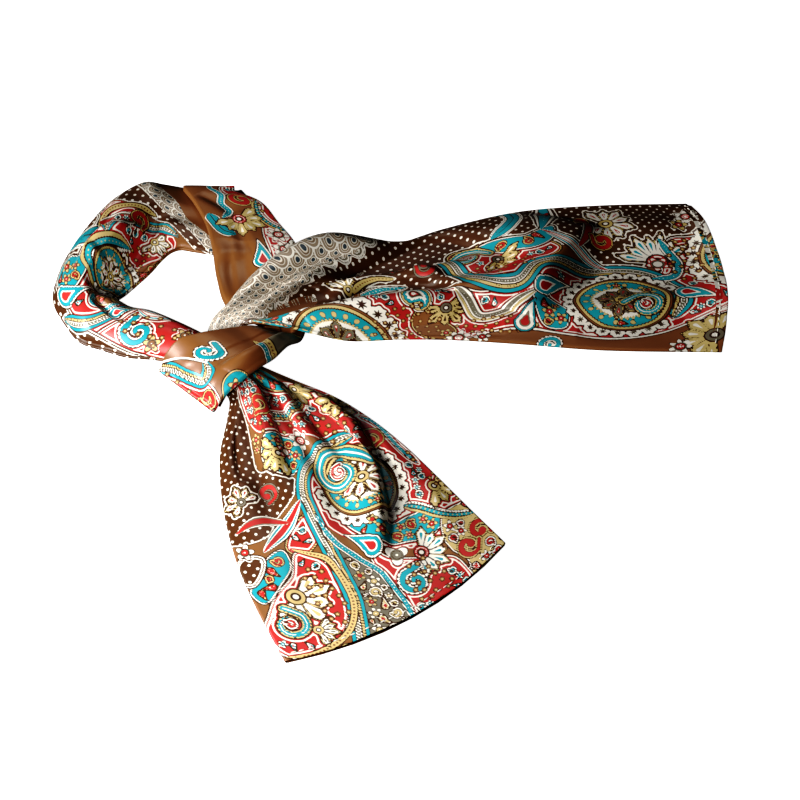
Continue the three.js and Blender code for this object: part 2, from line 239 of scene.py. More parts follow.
def sewCloth(name, laid):  # a flat grid takes the laid form, and its first and last columns are joined
    rows, columns = laid["u"].shape
    cut = bmesh.new()
    bmesh.ops.create_grid(cut, x_segments=columns - 1, y_segments=rows - 1, size=1)
    mesh = bpy.data.meshes.new(name)
    cut.to_mesh(mesh)
    cut.free()
    flat = np.empty(len(mesh.vertices) * 3, np.float32)
    mesh.vertices.foreach_get("co", flat)
    flat = flat.reshape(-1, 3)
    column = np.rint((flat[:, 0] + 1) / 2 * (columns - 1)).astype(int)
    row = np.rint((flat[:, 1] + 1) / 2 * (rows - 1)).astype(int)
    mesh.vertices.foreach_set("co", (laid["place"][row, column] * mm).astype(np.float32).ravel())
    corner = np.empty(len(mesh.loops), np.int32)
    mesh.loops.foreach_get("vertex_index", corner)
    for key, along, across in (("flatCut", "u", "v"), ("bandCut", "bandU", "bandV")):
        measure = np.stack([laid[along][row, column], laid[across][row, column]], axis=1)[corner]
        mesh.uv_layers.new(name=key).data.foreach_set("uv", (measure * mm).astype(np.float32).ravel())
    for key in inkFields:
        inks = mesh.attributes.new(key, "FLOAT_VECTOR", "POINT")
        inks.data.foreach_set("vector", laid[key][row, column].astype(np.float32).ravel())
    joined = bmesh.new()
    joined.from_mesh(mesh)
    bmesh.ops.remove_doubles(joined, verts=joined.verts, dist=1e-6)
    bmesh.ops.recalc_face_normals(joined, faces=joined.faces)
    joined.to_mesh(mesh)
    joined.free()
    mesh.polygons.foreach_set("use_smooth", [True] * len(mesh.polygons))
    piece = bpy.data.objects.new(name, mesh)
    bpy.context.collection.objects.link(piece)
    print(name, len(mesh.polygons), "faces")
    return piece


inkNames = ["brown", "dotted", "scale", "red", "turquoise", "straw", "white", "taupe", "dark"]
inkFields = ("groundInks", "brightInks", "lineInks")  # attributes that hold three inks each
inkDepth = 5  # mm, the greatest depth an ink keeps
farOff = 1e9  # mm, farther than any motif
ribbonStyles = {  # (ink, from, to) across a ribbon, as shares of its half width, then rows of beads in mm
    "stem": ([("dark", -1.12, 1.12), ("turquoise", -1, -0.62), ("white", -0.52, -0.4), ("taupe", -0.4, 0.02),
              ("white", 0.02, 0.14), ("straw", 0.26, 0.56), ("dark", 0.56, 0.66), ("turquoise", 0.66, 1)],
             [("white", -0.18, 2.1, 0.55), ("dark", 0.4, 1.8, 0.4)]),
    "fringed": ([("dark", -1.35, 1.35), ("white", -1.12, 1.12), ("dark", -0.78, 0.78),
                 ("turquoise", -0.62, 0.62)], [("white", 0, 2.4, 0.5)]),
    "golden": ([("dark", -1.4, 1.4), ("straw", -1, 1)], [("brown", 0, 2.4, 0.75)]),
    "laced": ([("dark", -1.1, 1.1), ("straw", -1, -0.5), ("turquoise", -0.38, 0.34), ("white", 0.46, 1)],
              [("dark", -0.45, 2.2, 0.7), ("straw", 0, 3.4, 0.7), ("dark", 0.45, 2.2, 0.7),
               ("dark", 0.8, 2.2, 0.4)]),
    "pale": ([("dark", -1.2, 1.2), ("white", -1, 1), ("taupe", -0.66, 0.1), ("dark", 0.3, 0.4),
              ("straw", 0.4, 0.75)], [("white", -0.28, 2.2, 0.5)]),
    "leaf": ([("white", -1.3, 1.3), ("dark", -1.1, 1.1), ("turquoise", -0.94, 0.94), ("dark", -0.1, 0.1)],
             [("dark", -0.55, 2.0, 0.4), ("dark", 0.55, 2.0, 0.4)]),
    "redLeaf": ([("dark", -1.5, 1.5), ("white", -1.3, 1.3), ("taupe", -1.02, 1.02), ("red", -0.7, 0.7)], []),
    "petal": ([("dark", -1.3, 1.3), ("white", -1.12, 1.12), ("turquoise", -0.9, 0.9), ("white", -0.62, 0.62),
               ("red", -0.44, 0.44)], []),
    "line": ([("dark", -2, 1), ("white", -1, 1)], []),
}


def stamp(laid, x, y, reach, turn):  # the part of the cloth near a motif, measured from it and along its axis
    rows = np.flatnonzero(np.abs(laid["u"][:, 0] - x) < reach)
    rows = slice(rows[0], rows[-1] + 1) if len(rows) else slice(0)
    columns = np.flatnonzero((np.abs(laid["v"][rows] - y) < reach).any(0))
    where = (rows, slice(columns[0], columns[-1] + 1) if len(columns) else slice(0))
    c, s = math.cos(math.radians(turn)), math.sin(math.radians(turn))
    du, dv = laid["u"][where] - x, laid["v"][where] - y
    return where, du * c + dv * s, dv * c - du * s


def dye(laid, where, *layers):  # each ink keeps its depth inside its shape, and the shader shows the deepest
    part = laid["inks"][where]
    for ink, distance in layers:
        depth = np.clip(distance, -inkDepth, inkDepth)
        own = np.maximum(part[..., inkNames.index(ink)], -depth)
        np.minimum(part, depth[..., None], out=part)
        part[..., inkNames.index(ink)] = own


def strand(p, q, points, radii):  # distance to a tapering line, run along it, place across it, its radius
    best = np.full(p.shape, farOff)
    run, across, wide = np.zeros(p.shape), np.zeros(p.shape), np.zeros(p.shape)
    before = 0
    for (x0, y0), (x1, y1), r0, r1 in zip(points[:-1], points[1:], radii[:-1], radii[1:]):
        dx, dy = x1 - x0, y1 - y0
        length = math.hypot(dx, dy)
        t = np.clip(((p - x0) * dx + (q - y0) * dy) / length**2, 0, 1)
        away = np.hypot(p - x0 - t * dx, q - y0 - t * dy)
        radius = r0 + t * (r1 - r0)
        near = away - radius < best
        best = np.where(near, away - radius, best)
        run = np.where(near, before + t * length, run)
        across = np.where(near, np.sign(dx * (q - y0) - dy * (p - x0)) * away, across)
        wide = np.where(near, radius, wide)
        before += length
    return best, run, across, wide


def winding(size, sweep, inner, root, steps):  # a line from outside the rim, winding in towards the middle
    share = np.linspace(0, 1, steps)
    angle = math.radians(sweep) * share
    radius = size * (1 - (1 - inner) * share)
    line = np.stack([radius * np.cos(angle), radius * np.sin(angle)], axis=1)
    way = math.copysign(size, sweep)
    return np.vstack([[(size * (1 - 0.3 * root), -root * way)], line]), np.concatenate([[-0.15], share])


zoneEdge = {"dark": 1.7, "pale": 0.9, "inner": 0.1, "ground": -0.3}  # mm out from a zone's outline


def zone(laid, ink, places, edge=None):  # a ground with a smooth outline
    places = np.asarray(places, float)
    count = len(places)
    wrapped = np.vstack([places[-2:], places, places[:3]])
    line = throughRows(wrapped, np.linspace(2 / (count + 4), (count + 2) / (count + 4), 6 * count + 1))
    middle = (line.min(0) + line.max(0)) / 2
    where, p, q = stamp(laid, *middle, np.ptp(line, axis=0).max() / 2 + 4, 0)
    line = line - middle
    distance = strand(p, q, line, np.zeros(len(line)))[0]
    inside = np.zeros(p.shape, bool)
    for (x0, y0), (x1, y1) in zip(line[:-1], line[1:]):
        if y0 != y1:
            inside ^= ((y0 > q) != (y1 > q)) & (p < (x1 - x0) * (q - y0) / (y1 - y0) + x0)
    distance = np.where(inside, -distance, distance)
    if edge:
        dye(laid, where, ("dark", distance - zoneEdge["dark"]), (edge, distance - zoneEdge["pale"]),
            ("dark", distance - zoneEdge["inner"]))
    dye(laid, where, (ink, distance - zoneEdge["ground"]))


def ribbon(laid, style, half, places, ends=0.15):  # stripes along a smooth line, pointed at both ends
    line = throughRows(places, np.linspace(0, 1, 9 * len(places)))
    middle = (line.min(0) + line.max(0)) / 2
    where, p, q = stamp(laid, *middle, np.ptp(line, axis=0).max() / 2 + 2 * half + 3, 0)
    run, across = strand(p, q, line - middle, np.zeros(len(line)))[1:3]
    length = np.linalg.norm(np.diff(line, axis=0), axis=1).sum()
    share = run / length
    wide = half * np.clip(np.minimum(share, 1 - share) / ends, 0, 1) ** 0.6 + 0.01
    stripes, beads = ribbonStyles[style]
    for ink, low, high in stripes:
        dye(laid, where, (ink, np.maximum(low * wide - across, across - high * wide)))
    for ink, at, pitch, size in beads:
        bead = np.hypot(run % pitch - pitch / 2, across - at * wide) - size * np.minimum(1, wide / half * 1.2)
        dye(laid, where, (ink, bead))


def medallion(laid, x, y, size, turn, lobed, long=1, petals="white"):  # toothed bands with a lace rim
    where, p, q = stamp(laid, x, y, 1.6 * size * long, turn)
    angle = np.arctan2(q, p / long)
    body = np.hypot(p / long, q * (1 - 0.06 * np.cos(angle))) - size
    lobe = 0.17 * size
    lace = np.full(p.shape, farOff)
    seeds = np.full(p.shape, farOff)
    count = round(lobed / 360 * 2 * math.pi * (size + lobe) / (1.9 * lobe))
    for k in range(count):
        at = math.radians(180 + lobed * ((k + 0.5) / count - 0.5))
        cx, cy = 1.11 * size * long * math.cos(at), 1.11 * size * math.sin(at)
        away = np.hypot(p - cx, q - cy)
        scallop = np.cos(7 * np.arctan2(q - cy, p - cx))
        lace = np.minimum(lace, away - lobe * (1 + 0.08 * scallop))
        seeds = np.minimum(seeds, away - lobe * (0.42 + 0.2 * scallop))
    tooth = np.sin(angle * round(2.6 * size))
    broad = np.sin(angle * round(1.3 * size))
    band = 0.1 * size
    share = angle * round(0.55 * size) / (2 * math.pi) % 1 - 0.5
    flecks = np.hypot(body + 2.5 * band, share * 11.4) - 0.06 * size
    dye(laid, where, ("dark", lace - 0.8), ("white", lace), ("taupe", seeds), ("dark", seeds + 0.7),
        ("dark", body - 0.9), ("brown", body), ("dark", body + 0.3 * band), ("straw", body + 0.5 * band),
        ("dark", body + 1.1 * band + 0.4 * tooth), ("turquoise", body + 1.4 * band + 0.4 * tooth),
        ("dark", flecks - 0.5), ("straw", flecks),
        ("dark", body + 3.5 * band + broad), ("straw", body + 3.7 * band + broad),
        ("white", body + 4.1 * band + 0.7 * tooth), ("taupe", body + 5.2 * band - 0.5 * broad),
        ("dark", body + 6.1 * band))
    daisy(laid, x, y, 0.62 * size, turn, 8, 360, petals, "red")


def horn(laid, x, y, size, turn, hand):  # a band that winds in to a red ball, in nested stripes
    where, p, q = stamp(laid, x, y, 2.4 * size, turn)
    points, share = winding(size, 430 * hand, 0.2, 1, 40)
    body, run, _, wide = strand(p, q, points, size * (0.27 - 0.13 * np.clip(share, 0, 1)))
    tooth = 0.4 * np.sin(run * 2.8)
    dye(laid, where, ("dark", body - 0.8), ("straw", body), ("dark", body + 0.3 * wide + tooth),
        ("turquoise", body + 0.42 * wide + tooth), ("white", body + 0.85 * wide))
    hook(laid, x, y, 0.3 * size, turn + 60, hand, "red", "white")


def boteh(laid, x, y, size, turn, hand):  # a drop with a curled tip, in nested toothed bands
    where, p, q = stamp(laid, x, y, 3.6 * size, turn)
    share = np.linspace(0, 1, 20)
    heading = math.radians(210 * hand) * share**1.6
    points = np.stack([np.cumsum(np.cos(heading)), np.cumsum(np.sin(heading))], axis=1) * 2.6 * size / 19
    body = strand(p, q, points - points[0], size * (1 - 0.94 * share**0.8))[0]
    tooth = np.sin(round(2 * size) * np.arctan2(q, p - 0.5 * size))
    dye(laid, where, ("dark", body - 1.6), ("white", body - 0.9), ("dark", body - 0.1), ("straw", body + 0.4),
        ("dark", body + 0.16 * size + 0.3 * tooth), ("turquoise", body + 0.22 * size + 0.3 * tooth),
        ("white", body + 0.42 * size + 0.5 * tooth), ("taupe", body + 0.6 * size),
        ("dark", body + 0.68 * size), ("red", body + 0.76 * size))


def drop(laid, x, y, size, turn, inks=("white", "turquoise", "white", "red")):  # a small pointed drop
    where, p, q = stamp(laid, x, y, 4 * size, turn)
    share = np.linspace(0, 1, 9)
    points = np.stack([2.6 * size * share, 0.35 * size * share**2], axis=1)
    body = strand(p, q, points, size * (1 - 0.97 * share**0.8))[0]
    dye(laid, where, ("dark", body - 0.8), (inks[0], body), ("dark", body + 0.12 * size),
        (inks[1], body + 0.17 * size), (inks[2], body + 0.46 * size), (inks[3], body + 0.6 * size))


def daisy(laid, x, y, size, turn, petals, spread, ink="white", mark="taupe", heart="straw"):  # pointed petals
    where, p, q = stamp(laid, x, y, 1.3 * size, turn)
    body = np.full(p.shape, farOff)
    inner = np.full(p.shape, farOff)
    for k in range(petals):
        angle = math.radians(spread * (k / petals if spread == 360 else k / (petals - 1) - 0.5))
        long = size * (1 - 0.14 * (k % 2))
        c, s = math.cos(angle) * long, math.sin(angle) * long
        wide = min(0.17, 0.36 * math.radians(spread) / petals) * size
        petal = strand(p, q, [(0.2 * c, 0.2 * s), (0.72 * c, 0.72 * s), (c, s)], [0.05 * size, wide, 0.1])[0]
        body = np.minimum(body, petal)
        vein = strand(p, q, [(0.45 * c, 0.45 * s), (0.74 * c, 0.74 * s)], [0.1, 0.34 * wide])[0]
        inner = np.minimum(inner, vein)
    centre = np.hypot(p, q)
    dye(laid, where, ("dark", body - 1.2), ("straw", body - 0.5), ("dark", body), (ink, body + 0.4),
        (mark, inner), ("dark", centre - 0.28 * size), (heart, centre - 0.24 * size),
        ("dark", centre - 0.14 * size), ("white", centre - 0.08 * size))


def hook(laid, x, y, size, turn, hand, ink="red", edge="straw"):  # a curl that ends in a ball
    where, p, q = stamp(laid, x, y, 2.8 * size, turn)
    points, share = winding(size, 300 * hand, 0.3, 0.9, 24)
    radii = size * (0.14 + 0.1 * np.sin(3 * np.clip(share, 0, 1)) + 0.2 * np.clip(6 * share - 5, 0, 1))
    body = strand(p, q, points, radii)[0]
    dye(laid, where, ("dark", body - 1.7), (edge, body - 1.1), ("dark", body - 0.3), (ink, body + 0.1))


def curl(laid, x, y, size, turn, hand, ink="turquoise"):  # a curl with a pale toothed fringe
    where, p, q = stamp(laid, x, y, 3 * size + 4, turn)
    points, share = winding(size, 380 * hand, 0.16, 1.2, 30)
    body, run = strand(p, q, points, size * (0.2 - 0.06 * np.clip(share, 0, 1)))[:2]
    tooth = 0.35 * np.sin(run * 2.8)
    dye(laid, where, ("dark", body - 2), ("white", body - 1.3 + tooth), ("dark", body - 0.3),
        (ink, body + 0.1))


def flower(laid, x, y, size, petals, ink="white", heart="red"):  # round petals
    where, p, q = stamp(laid, x, y, 1.6 * size + 2, 0)
    centre = np.hypot(p, q)
    body = centre - size * (0.76 + 0.24 * np.cos(petals * np.arctan2(q, p) + x))
    dye(laid, where, ("dark", body - 0.7), (ink, body), ("taupe", centre - 0.56 * size),
        ("dark", centre - 0.46 * size), (heart, centre - 0.38 * size), ("white", centre - 0.12 * size))


def pips(laid, x, y, wide, high, pitch, rim="brown"):  # a scatter of tiny round flowers
    for j in range(-int(high / pitch) - 1, int(high / pitch) + 2):
        for i in range(-int(wide / pitch) - 1, int(wide / pitch) + 2):
            px = (i + 0.5 * (j % 2)) * pitch + math.sin(7 * i + 3 * j)
            py = j * pitch * 0.9 + math.sin(5 * i - 4 * j)
            if (px / wide) ** 2 + (py / high) ** 2 > 1:
                continue
            where, p, q = stamp(laid, x + px, y + py, 7, 40 * i + 25 * j)
            body = np.hypot(p, q) - 1.5 - 0.3 * np.cos(5 * np.arctan2(q, p))
            dye(laid, where, ("dark", body - 0.5), (rim, body), ("straw", np.hypot(p, q) - 0.8))


def echo(laid, ink, near, far):  # a pale line in a ground that follows the outlines of the motifs on it
    depth = laid["inks"][:, :, inkNames.index(ink)].copy()
    dye(laid, (slice(None), slice(None)), ("white", np.maximum(near - depth, depth - far)))


def scallops(laid, size, places):  # half rounds that hang from the edge of the scales
    for x, y in places:
        where, p, q = stamp(laid, x, y, size + 2, 0)
        away = np.hypot(p, q)
        covered = laid["inks"][where][..., inkNames.index("scale")].copy()
        for ink, share in (("white", 1), ("taupe", 0.78), ("white", 0.5), ("taupe", 0.34)):
            dye(laid, where, (ink, np.maximum(away - share * size, covered)))


fillInks = {"red": ("white", "turquoise"), "turquoise": ("straw", "red"), "brown": ("straw", "red"),
            "taupe": ("white", "straw"), "straw": ("white", "red")}  # ground: pale ink, bright ink
mostFills = 90


def fill(laid, ground, low, high, least):  # small motifs in what is left of a ground, each sized to its gap
    pale, bright = fillInks[ground]
    u, v = laid["u"], laid["v"]
    within = (u > low[0]) & (u < high[0]) & (v > low[1]) & (v < high[1])
    for count in range(mostFills):
        depth = np.where(within, laid["inks"][:, :, inkNames.index(ground)], -1)
        row, column = np.unravel_index(depth.argmax(), depth.shape)
        room = depth[row, column]
        if room < least:
            break
        x, y, turn = u[row, column], v[row, column], 77 * count
        if count % 3 == 0:
            flower(laid, x, y, 0.9 * room, 5 + count % 2, pale, bright)
        elif count % 3 == 1:
            hook(laid, x, y, 0.6 * room, turn, 1, bright, pale)
        else:
            size = 0.5 * room
            c, s = math.cos(math.radians(turn)), math.sin(math.radians(turn))
            drop(laid, x - 1.2 * size * c, y - 1.2 * size * s, size, turn, (pale, bright, "white", "red"))


motifs = {"zone": zone, "ribbon": ribbon, "medallion": medallion, "horn": horn, "boteh": boteh,
          "drop": drop, "daisy": daisy, "hook": hook, "curl": curl, "flower": flower, "pips": pips,
          "echo": echo, "scallops": scallops, "fill": fill}


def printCloth(cloth, laid):  # the motifs in their order, and the inks as three attributes
    laid["inks"] = np.full(laid["u"].shape + (len(inkNames),), -float(inkDepth))
    laid["inks"][:, :, 0] = inkDepth
    for kind, *measures in cloth["print"]:
        motifs[kind](laid, *measures)
    for k, key in enumerate(inkFields):
        laid[key] = laid["inks"][:, :, 3 * k:3 * k + 3]
    turn = math.radians(cloth.get("scaleTurn", 0))
    laid["bandU"] = laid["u"] * math.cos(turn) + laid["v"] * math.sin(turn)
    laid["bandV"] = laid["v"] * math.cos(turn) - laid["u"] * math.sin(turn)


tailGrid = {"hollow": True, "spacing": 0.85, "columns": 200, "backColumns": 5, "foldEase": 14, "ripple": 0.12}

# Each piece has its flat width and length in metres, then measures in mm:
# rows: edge a, edge b, then (crown, where it is highest, how far the middle lies ahead)
# folds: at which rows, then the fold's place and breadth as shares of the width, and its height
# creases: height, breadth on either side of its line, and the line on the flat cloth
# print: the motifs in their order, with places on the flat cloth and turns in degrees
rightTailCloth = {
    "cut": (0.32, 0.352),
    **tailGrid,
    "rows": [
        ((-122, 62, 2.7), (-103, 59, 2.7), (4, 0.5, 0)),
        ((-118, 72, 8), (-94, 64, 10.5), (5, 0.5, 0)),
        ((-103, 92, 9.5), (-71, 60, 13), (5, 0.5, 0)),
        ((-80, 121, 9), (-50, 58, 8), (5, 0.5, 0)),
        ((-43, 149, 7), (-26, 57, 2), (5, 0.5, 0)),
        ((0, 154, 0), (6, 60, 0), (4, 0.5, 2)),
        ((42, 173, 0), (42, 60, 0), (3, 0.5, 3)),
        ((95, 191, 0), (90, 56, 0), (3, 0.5, 4)),
        ((155, 198, 0), (146, 50, 0), (3, 0.5, 6)),
        ((217, 200, 0), (228, 48, 0), (3, 0.5, 13)),
    ],
    "folds": [
        {"row": [0.5, 1.7, 3.4, 5.2], "at": [0.2, 0.18, 0.13, 0.1],
         "breadth": [0.2, 0.18, 0.15, 0.13], "height": [0, 8, 9, 0]},
        {"row": [1.2, 3, 5.5, 8.1], "at": [0.5, 0.46, 0.42, 0.36],
         "breadth": [0.14, 0.15, 0.16, 0.18], "height": [0, 10, 6, 0]},
        {"row": [1.7, 3.2, 6, 8.8], "at": [0.8, 0.76, 0.68, 0.58],
         "breadth": [0.2, 0.2, 0.2, 0.2], "height": [0, 10, 9, 0]},
        {"row": [6.1, 7, 9], "at": [0.92, 0.83, 0.66],
         "breadth": [0.1, 0.12, 0.15], "height": [0, 6, 5], "lean": 0.5},
        {"row": [5.4, 6.5, 9], "at": [0.24, 0.23, 0.2],
         "breadth": [0.2, 0.2, 0.2], "height": [0, 3, 4]},
    ],
    "creases": [
        (9, 26, 105, [(134, -12), (118, 22), (106, 38), (90, 53), (70, 76)]),
        (-13, 9, 24, [(16, 114), (40, 103), (66, 92), (92, 70), (112, 50), (130, 39), (153, 33), (176, 38),
                      (199, 54), (216, 78)]),
        (5, 5, 7, [(40, 112), (70, 98), (96, 84), (118, 62), (138, 58), (160, 74), (180, 96)]),
        (-5, 4, 6, [(70, 106), (92, 98), (112, 84), (128, 76), (150, 80), (176, 104)]),
        (5, 14, 14, [(60, 136), (90, 128), (120, 116), (150, 112), (176, 124)]),
        (-3, 8, 8, [(120, 150), (150, 140), (180, 144), (210, 138)]),
        (13, 15, 72, [(266, 26), (250, 56), (240, 80), (228, 104), (216, 126)]),
        (6, 46, 20, [(356, -10), (356, 60), (356, 170)]),
        (-3, 9, 12, [(276, 60), (264, 84), (252, 106), (242, 124)]),
        (-3, 8, 8, [(196, 30), (208, 52), (204, 80), (196, 100)]),
        (-3, 9, 7, [(262, 142), (292, 140), (316, 130), (336, 116), (356, 104)]),
        (1.5, 14, 14, [(280, 20), (310, 30), (340, 26)]),
        (-1.5, 8, 8, [(330, 10), (338, 40), (334, 74), (342, 98)]),
    ],
    "scaleTurn": 14.6,
    "print": [
        ("zone", "dotted", [(-10, -90), (360, -90), (362, 35), (330, 44), (312, 60), (300, 80), (270, 76),
                            (246, 62), (232, 84), (214, 100), (196, 100), (172, 98), (150, 98), (130, 104),
                            (108, 108), (66, 114), (30, 126), (-10, 134)]),
        ("zone", "scale", [(-10, -90), (150, -90), (138, -4), (128, 8), (118, 22), (106, 38), (90, 53),
                           (66, 83), (44, 95), (29, 103), (-10, 112)]),
        ("scallops", 4.8, [(30, 101), (42, 95), (53, 90), (63, 83), (72, 74), (81, 63), (90, 52), (99, 43),
                           (108, 34), (116, 24), (123, 13), (130, 3)]),
        ("zone", "red", [(112, 106), (132, 102), (150, 98), (172, 100), (190, 108), (206, 108), (222, 102),
                         (234, 90), (262, 84), (300, 84), (313, 80), (316, 60), (322, 46), (334, 44),
                         (362, 50), (362, 116), (331, 132), (314, 142), (288, 148), (259, 146), (228, 142),
                         (197, 146), (175, 158), (150, 168), (120, 170)], "white"),
        ("zone", "red", [(170, 46), (190, 42), (214, 54), (236, 56), (246, 64), (236, 78), (226, 92),
                         (212, 96), (196, 92), (182, 78)], "straw"),
        ("zone", "turquoise", [(18, 120), (40, 116), (62, 118), (48, 150), (24, 140)], "straw"),
        ("zone", "turquoise", [(186, 44), (204, 45), (222, 51), (231, 46), (242, 40), (240, 54), (226, 63),
                               (206, 57)], "white"),
        ("zone", "turquoise", [(231, 112), (244, 117), (254, 128), (253, 139), (240, 139),
                               (233, 128)], "white"),
        ("zone", "brown", [(150, 118), (166, 130), (176, 144), (168, 152), (152, 146), (144, 130)], "straw"),
        ("ribbon", "line", 0.7, [(190, 148), (197, 146), (228, 142), (259, 146), (288, 148), (314, 142),
                                 (331, 132), (356, 116)]),
        # taupe petals: partly the print's own taupe, partly painted shade, darker than the white petals of
        # the same medallion on the other pieces
        ("medallion", 84, 156, 40, 180, 300, 1.12, "taupe"),
        ("daisy", 101, 85, 13, -60, 6, 200, "white", "taupe"),
        ("ribbon", "golden", 2.4, [(104, 86), (114, 75), (122, 69), (132, 70)]),
        ("ribbon", "fringed", 2, [(86, 102), (98, 96), (111, 87), (124, 81), (140, 80)]),
        ("boteh", 144, 107, 9, 8, 1),
        ("daisy", 168, 120, 17, 70, 6, 210, "straw", "dark", "taupe"),
        ("flower", 179, 151, 9, 7),
        ("flower", 196, 150, 6, 6),
        ("ribbon", "pale", 5, [(174, 100), (182, 112), (192, 129), (206, 128), (222, 117), (232, 108)]),
        ("ribbon", "leaf", 4, [(203, 0), (214, 10), (217, 22), (211, 35), (200, 42)]),
        ("ribbon", "fringed", 7, [(238, -8), (239, 8), (238, 24), (234, 44)], 0.5),
        ("horn", 182, 57, 13, -60, -1),
        ("daisy", 204, 65, 16, 40, 5, 150, "straw", "white", "taupe"),
        ("ribbon", "stem", 6.5, [(162, 50), (170, 64), (184, 91), (205, 103), (219, 102), (231, 87),
                                 (246, 80), (265, 77), (281, 77), (300, 80), (316, 92), (325, 110),
                                 (320, 128)], 0.06),
        ("ribbon", "petal", 4.2, [(234, 44), (251, 55), (265, 66), (280, 75)], 0.4),
        ("daisy", 280, 27, 21, 0, 8, 250, "white", "red"),
        ("daisy", 312, 66, 27, -100, 7, 130, "white", "turquoise", "red"),
        ("flower", 312, 69, 8, 5, "red", "white"),
        ("ribbon", "fringed", 3, [(315, 44), (320, 56), (325, 69), (321, 83), (306, 86)]),
        ("flower", 341, 22, 8, 6),
        ("flower", 333, 31, 6, 5, "straw"),
        ("medallion", 370, 68, 31, 0, 360),
        # taupe petals: partly the print's own taupe, partly painted shade, darker than the white petals of
        # the same medallion on the other pieces
        ("medallion", 288, 113, 26, 5, 300, 1.2, "taupe"),
        ("horn", 303, 117, 11, -120, 1),
        ("flower", 241, 128, 5, 5, "straw"),
        ("curl", 246, 157, 8, 160, 1),
        ("daisy", 346, 147, 23, 190, 7, 200, "straw", "white", "taupe"),
        ("flower", 327, 156, 7, 7),
        ("echo", "red", 0.7, 1.8),
        ("echo", "dotted", 0.6, 1.6),
        ("pips", 140, 136, 26, 24, 7),
        ("pips", 205, 138, 30, 10, 7),
        ("pips", 330, 66, 12, 24, 7),
        ("pips", 206, 80, 24, 12, 7),
        ("flower", 238, 14, 6, 6, "red", "white"),
        ("hook", 138, 56, 7, 200, 1, "red", "taupe"),
        ("hook", 154, 67, 7, 160, -1, "red", "taupe"),
        ("drop", 328, 104, 7.5, 14),
        ("drop", 236, 105, 7.5, -32),
        ("drop", 225, 137, 7.5, -80, ("turquoise", "white", "taupe", "red")),
        ("ribbon", "redLeaf", 3, [(262, 20), (267, 32), (266, 43), (259, 58)], 0.4),
        ("hook", 261, 24, 6, 60, -1),
        ("hook", 276, 47, 7, 150, -1),
        ("fill", "red", (100, 60), (362, 170), 3),
        ("fill", "turquoise", (20, 20), (362, 150), 3),
        ("fill", "brown", (100, 80), (250, 145), 3.2),
    ],
}

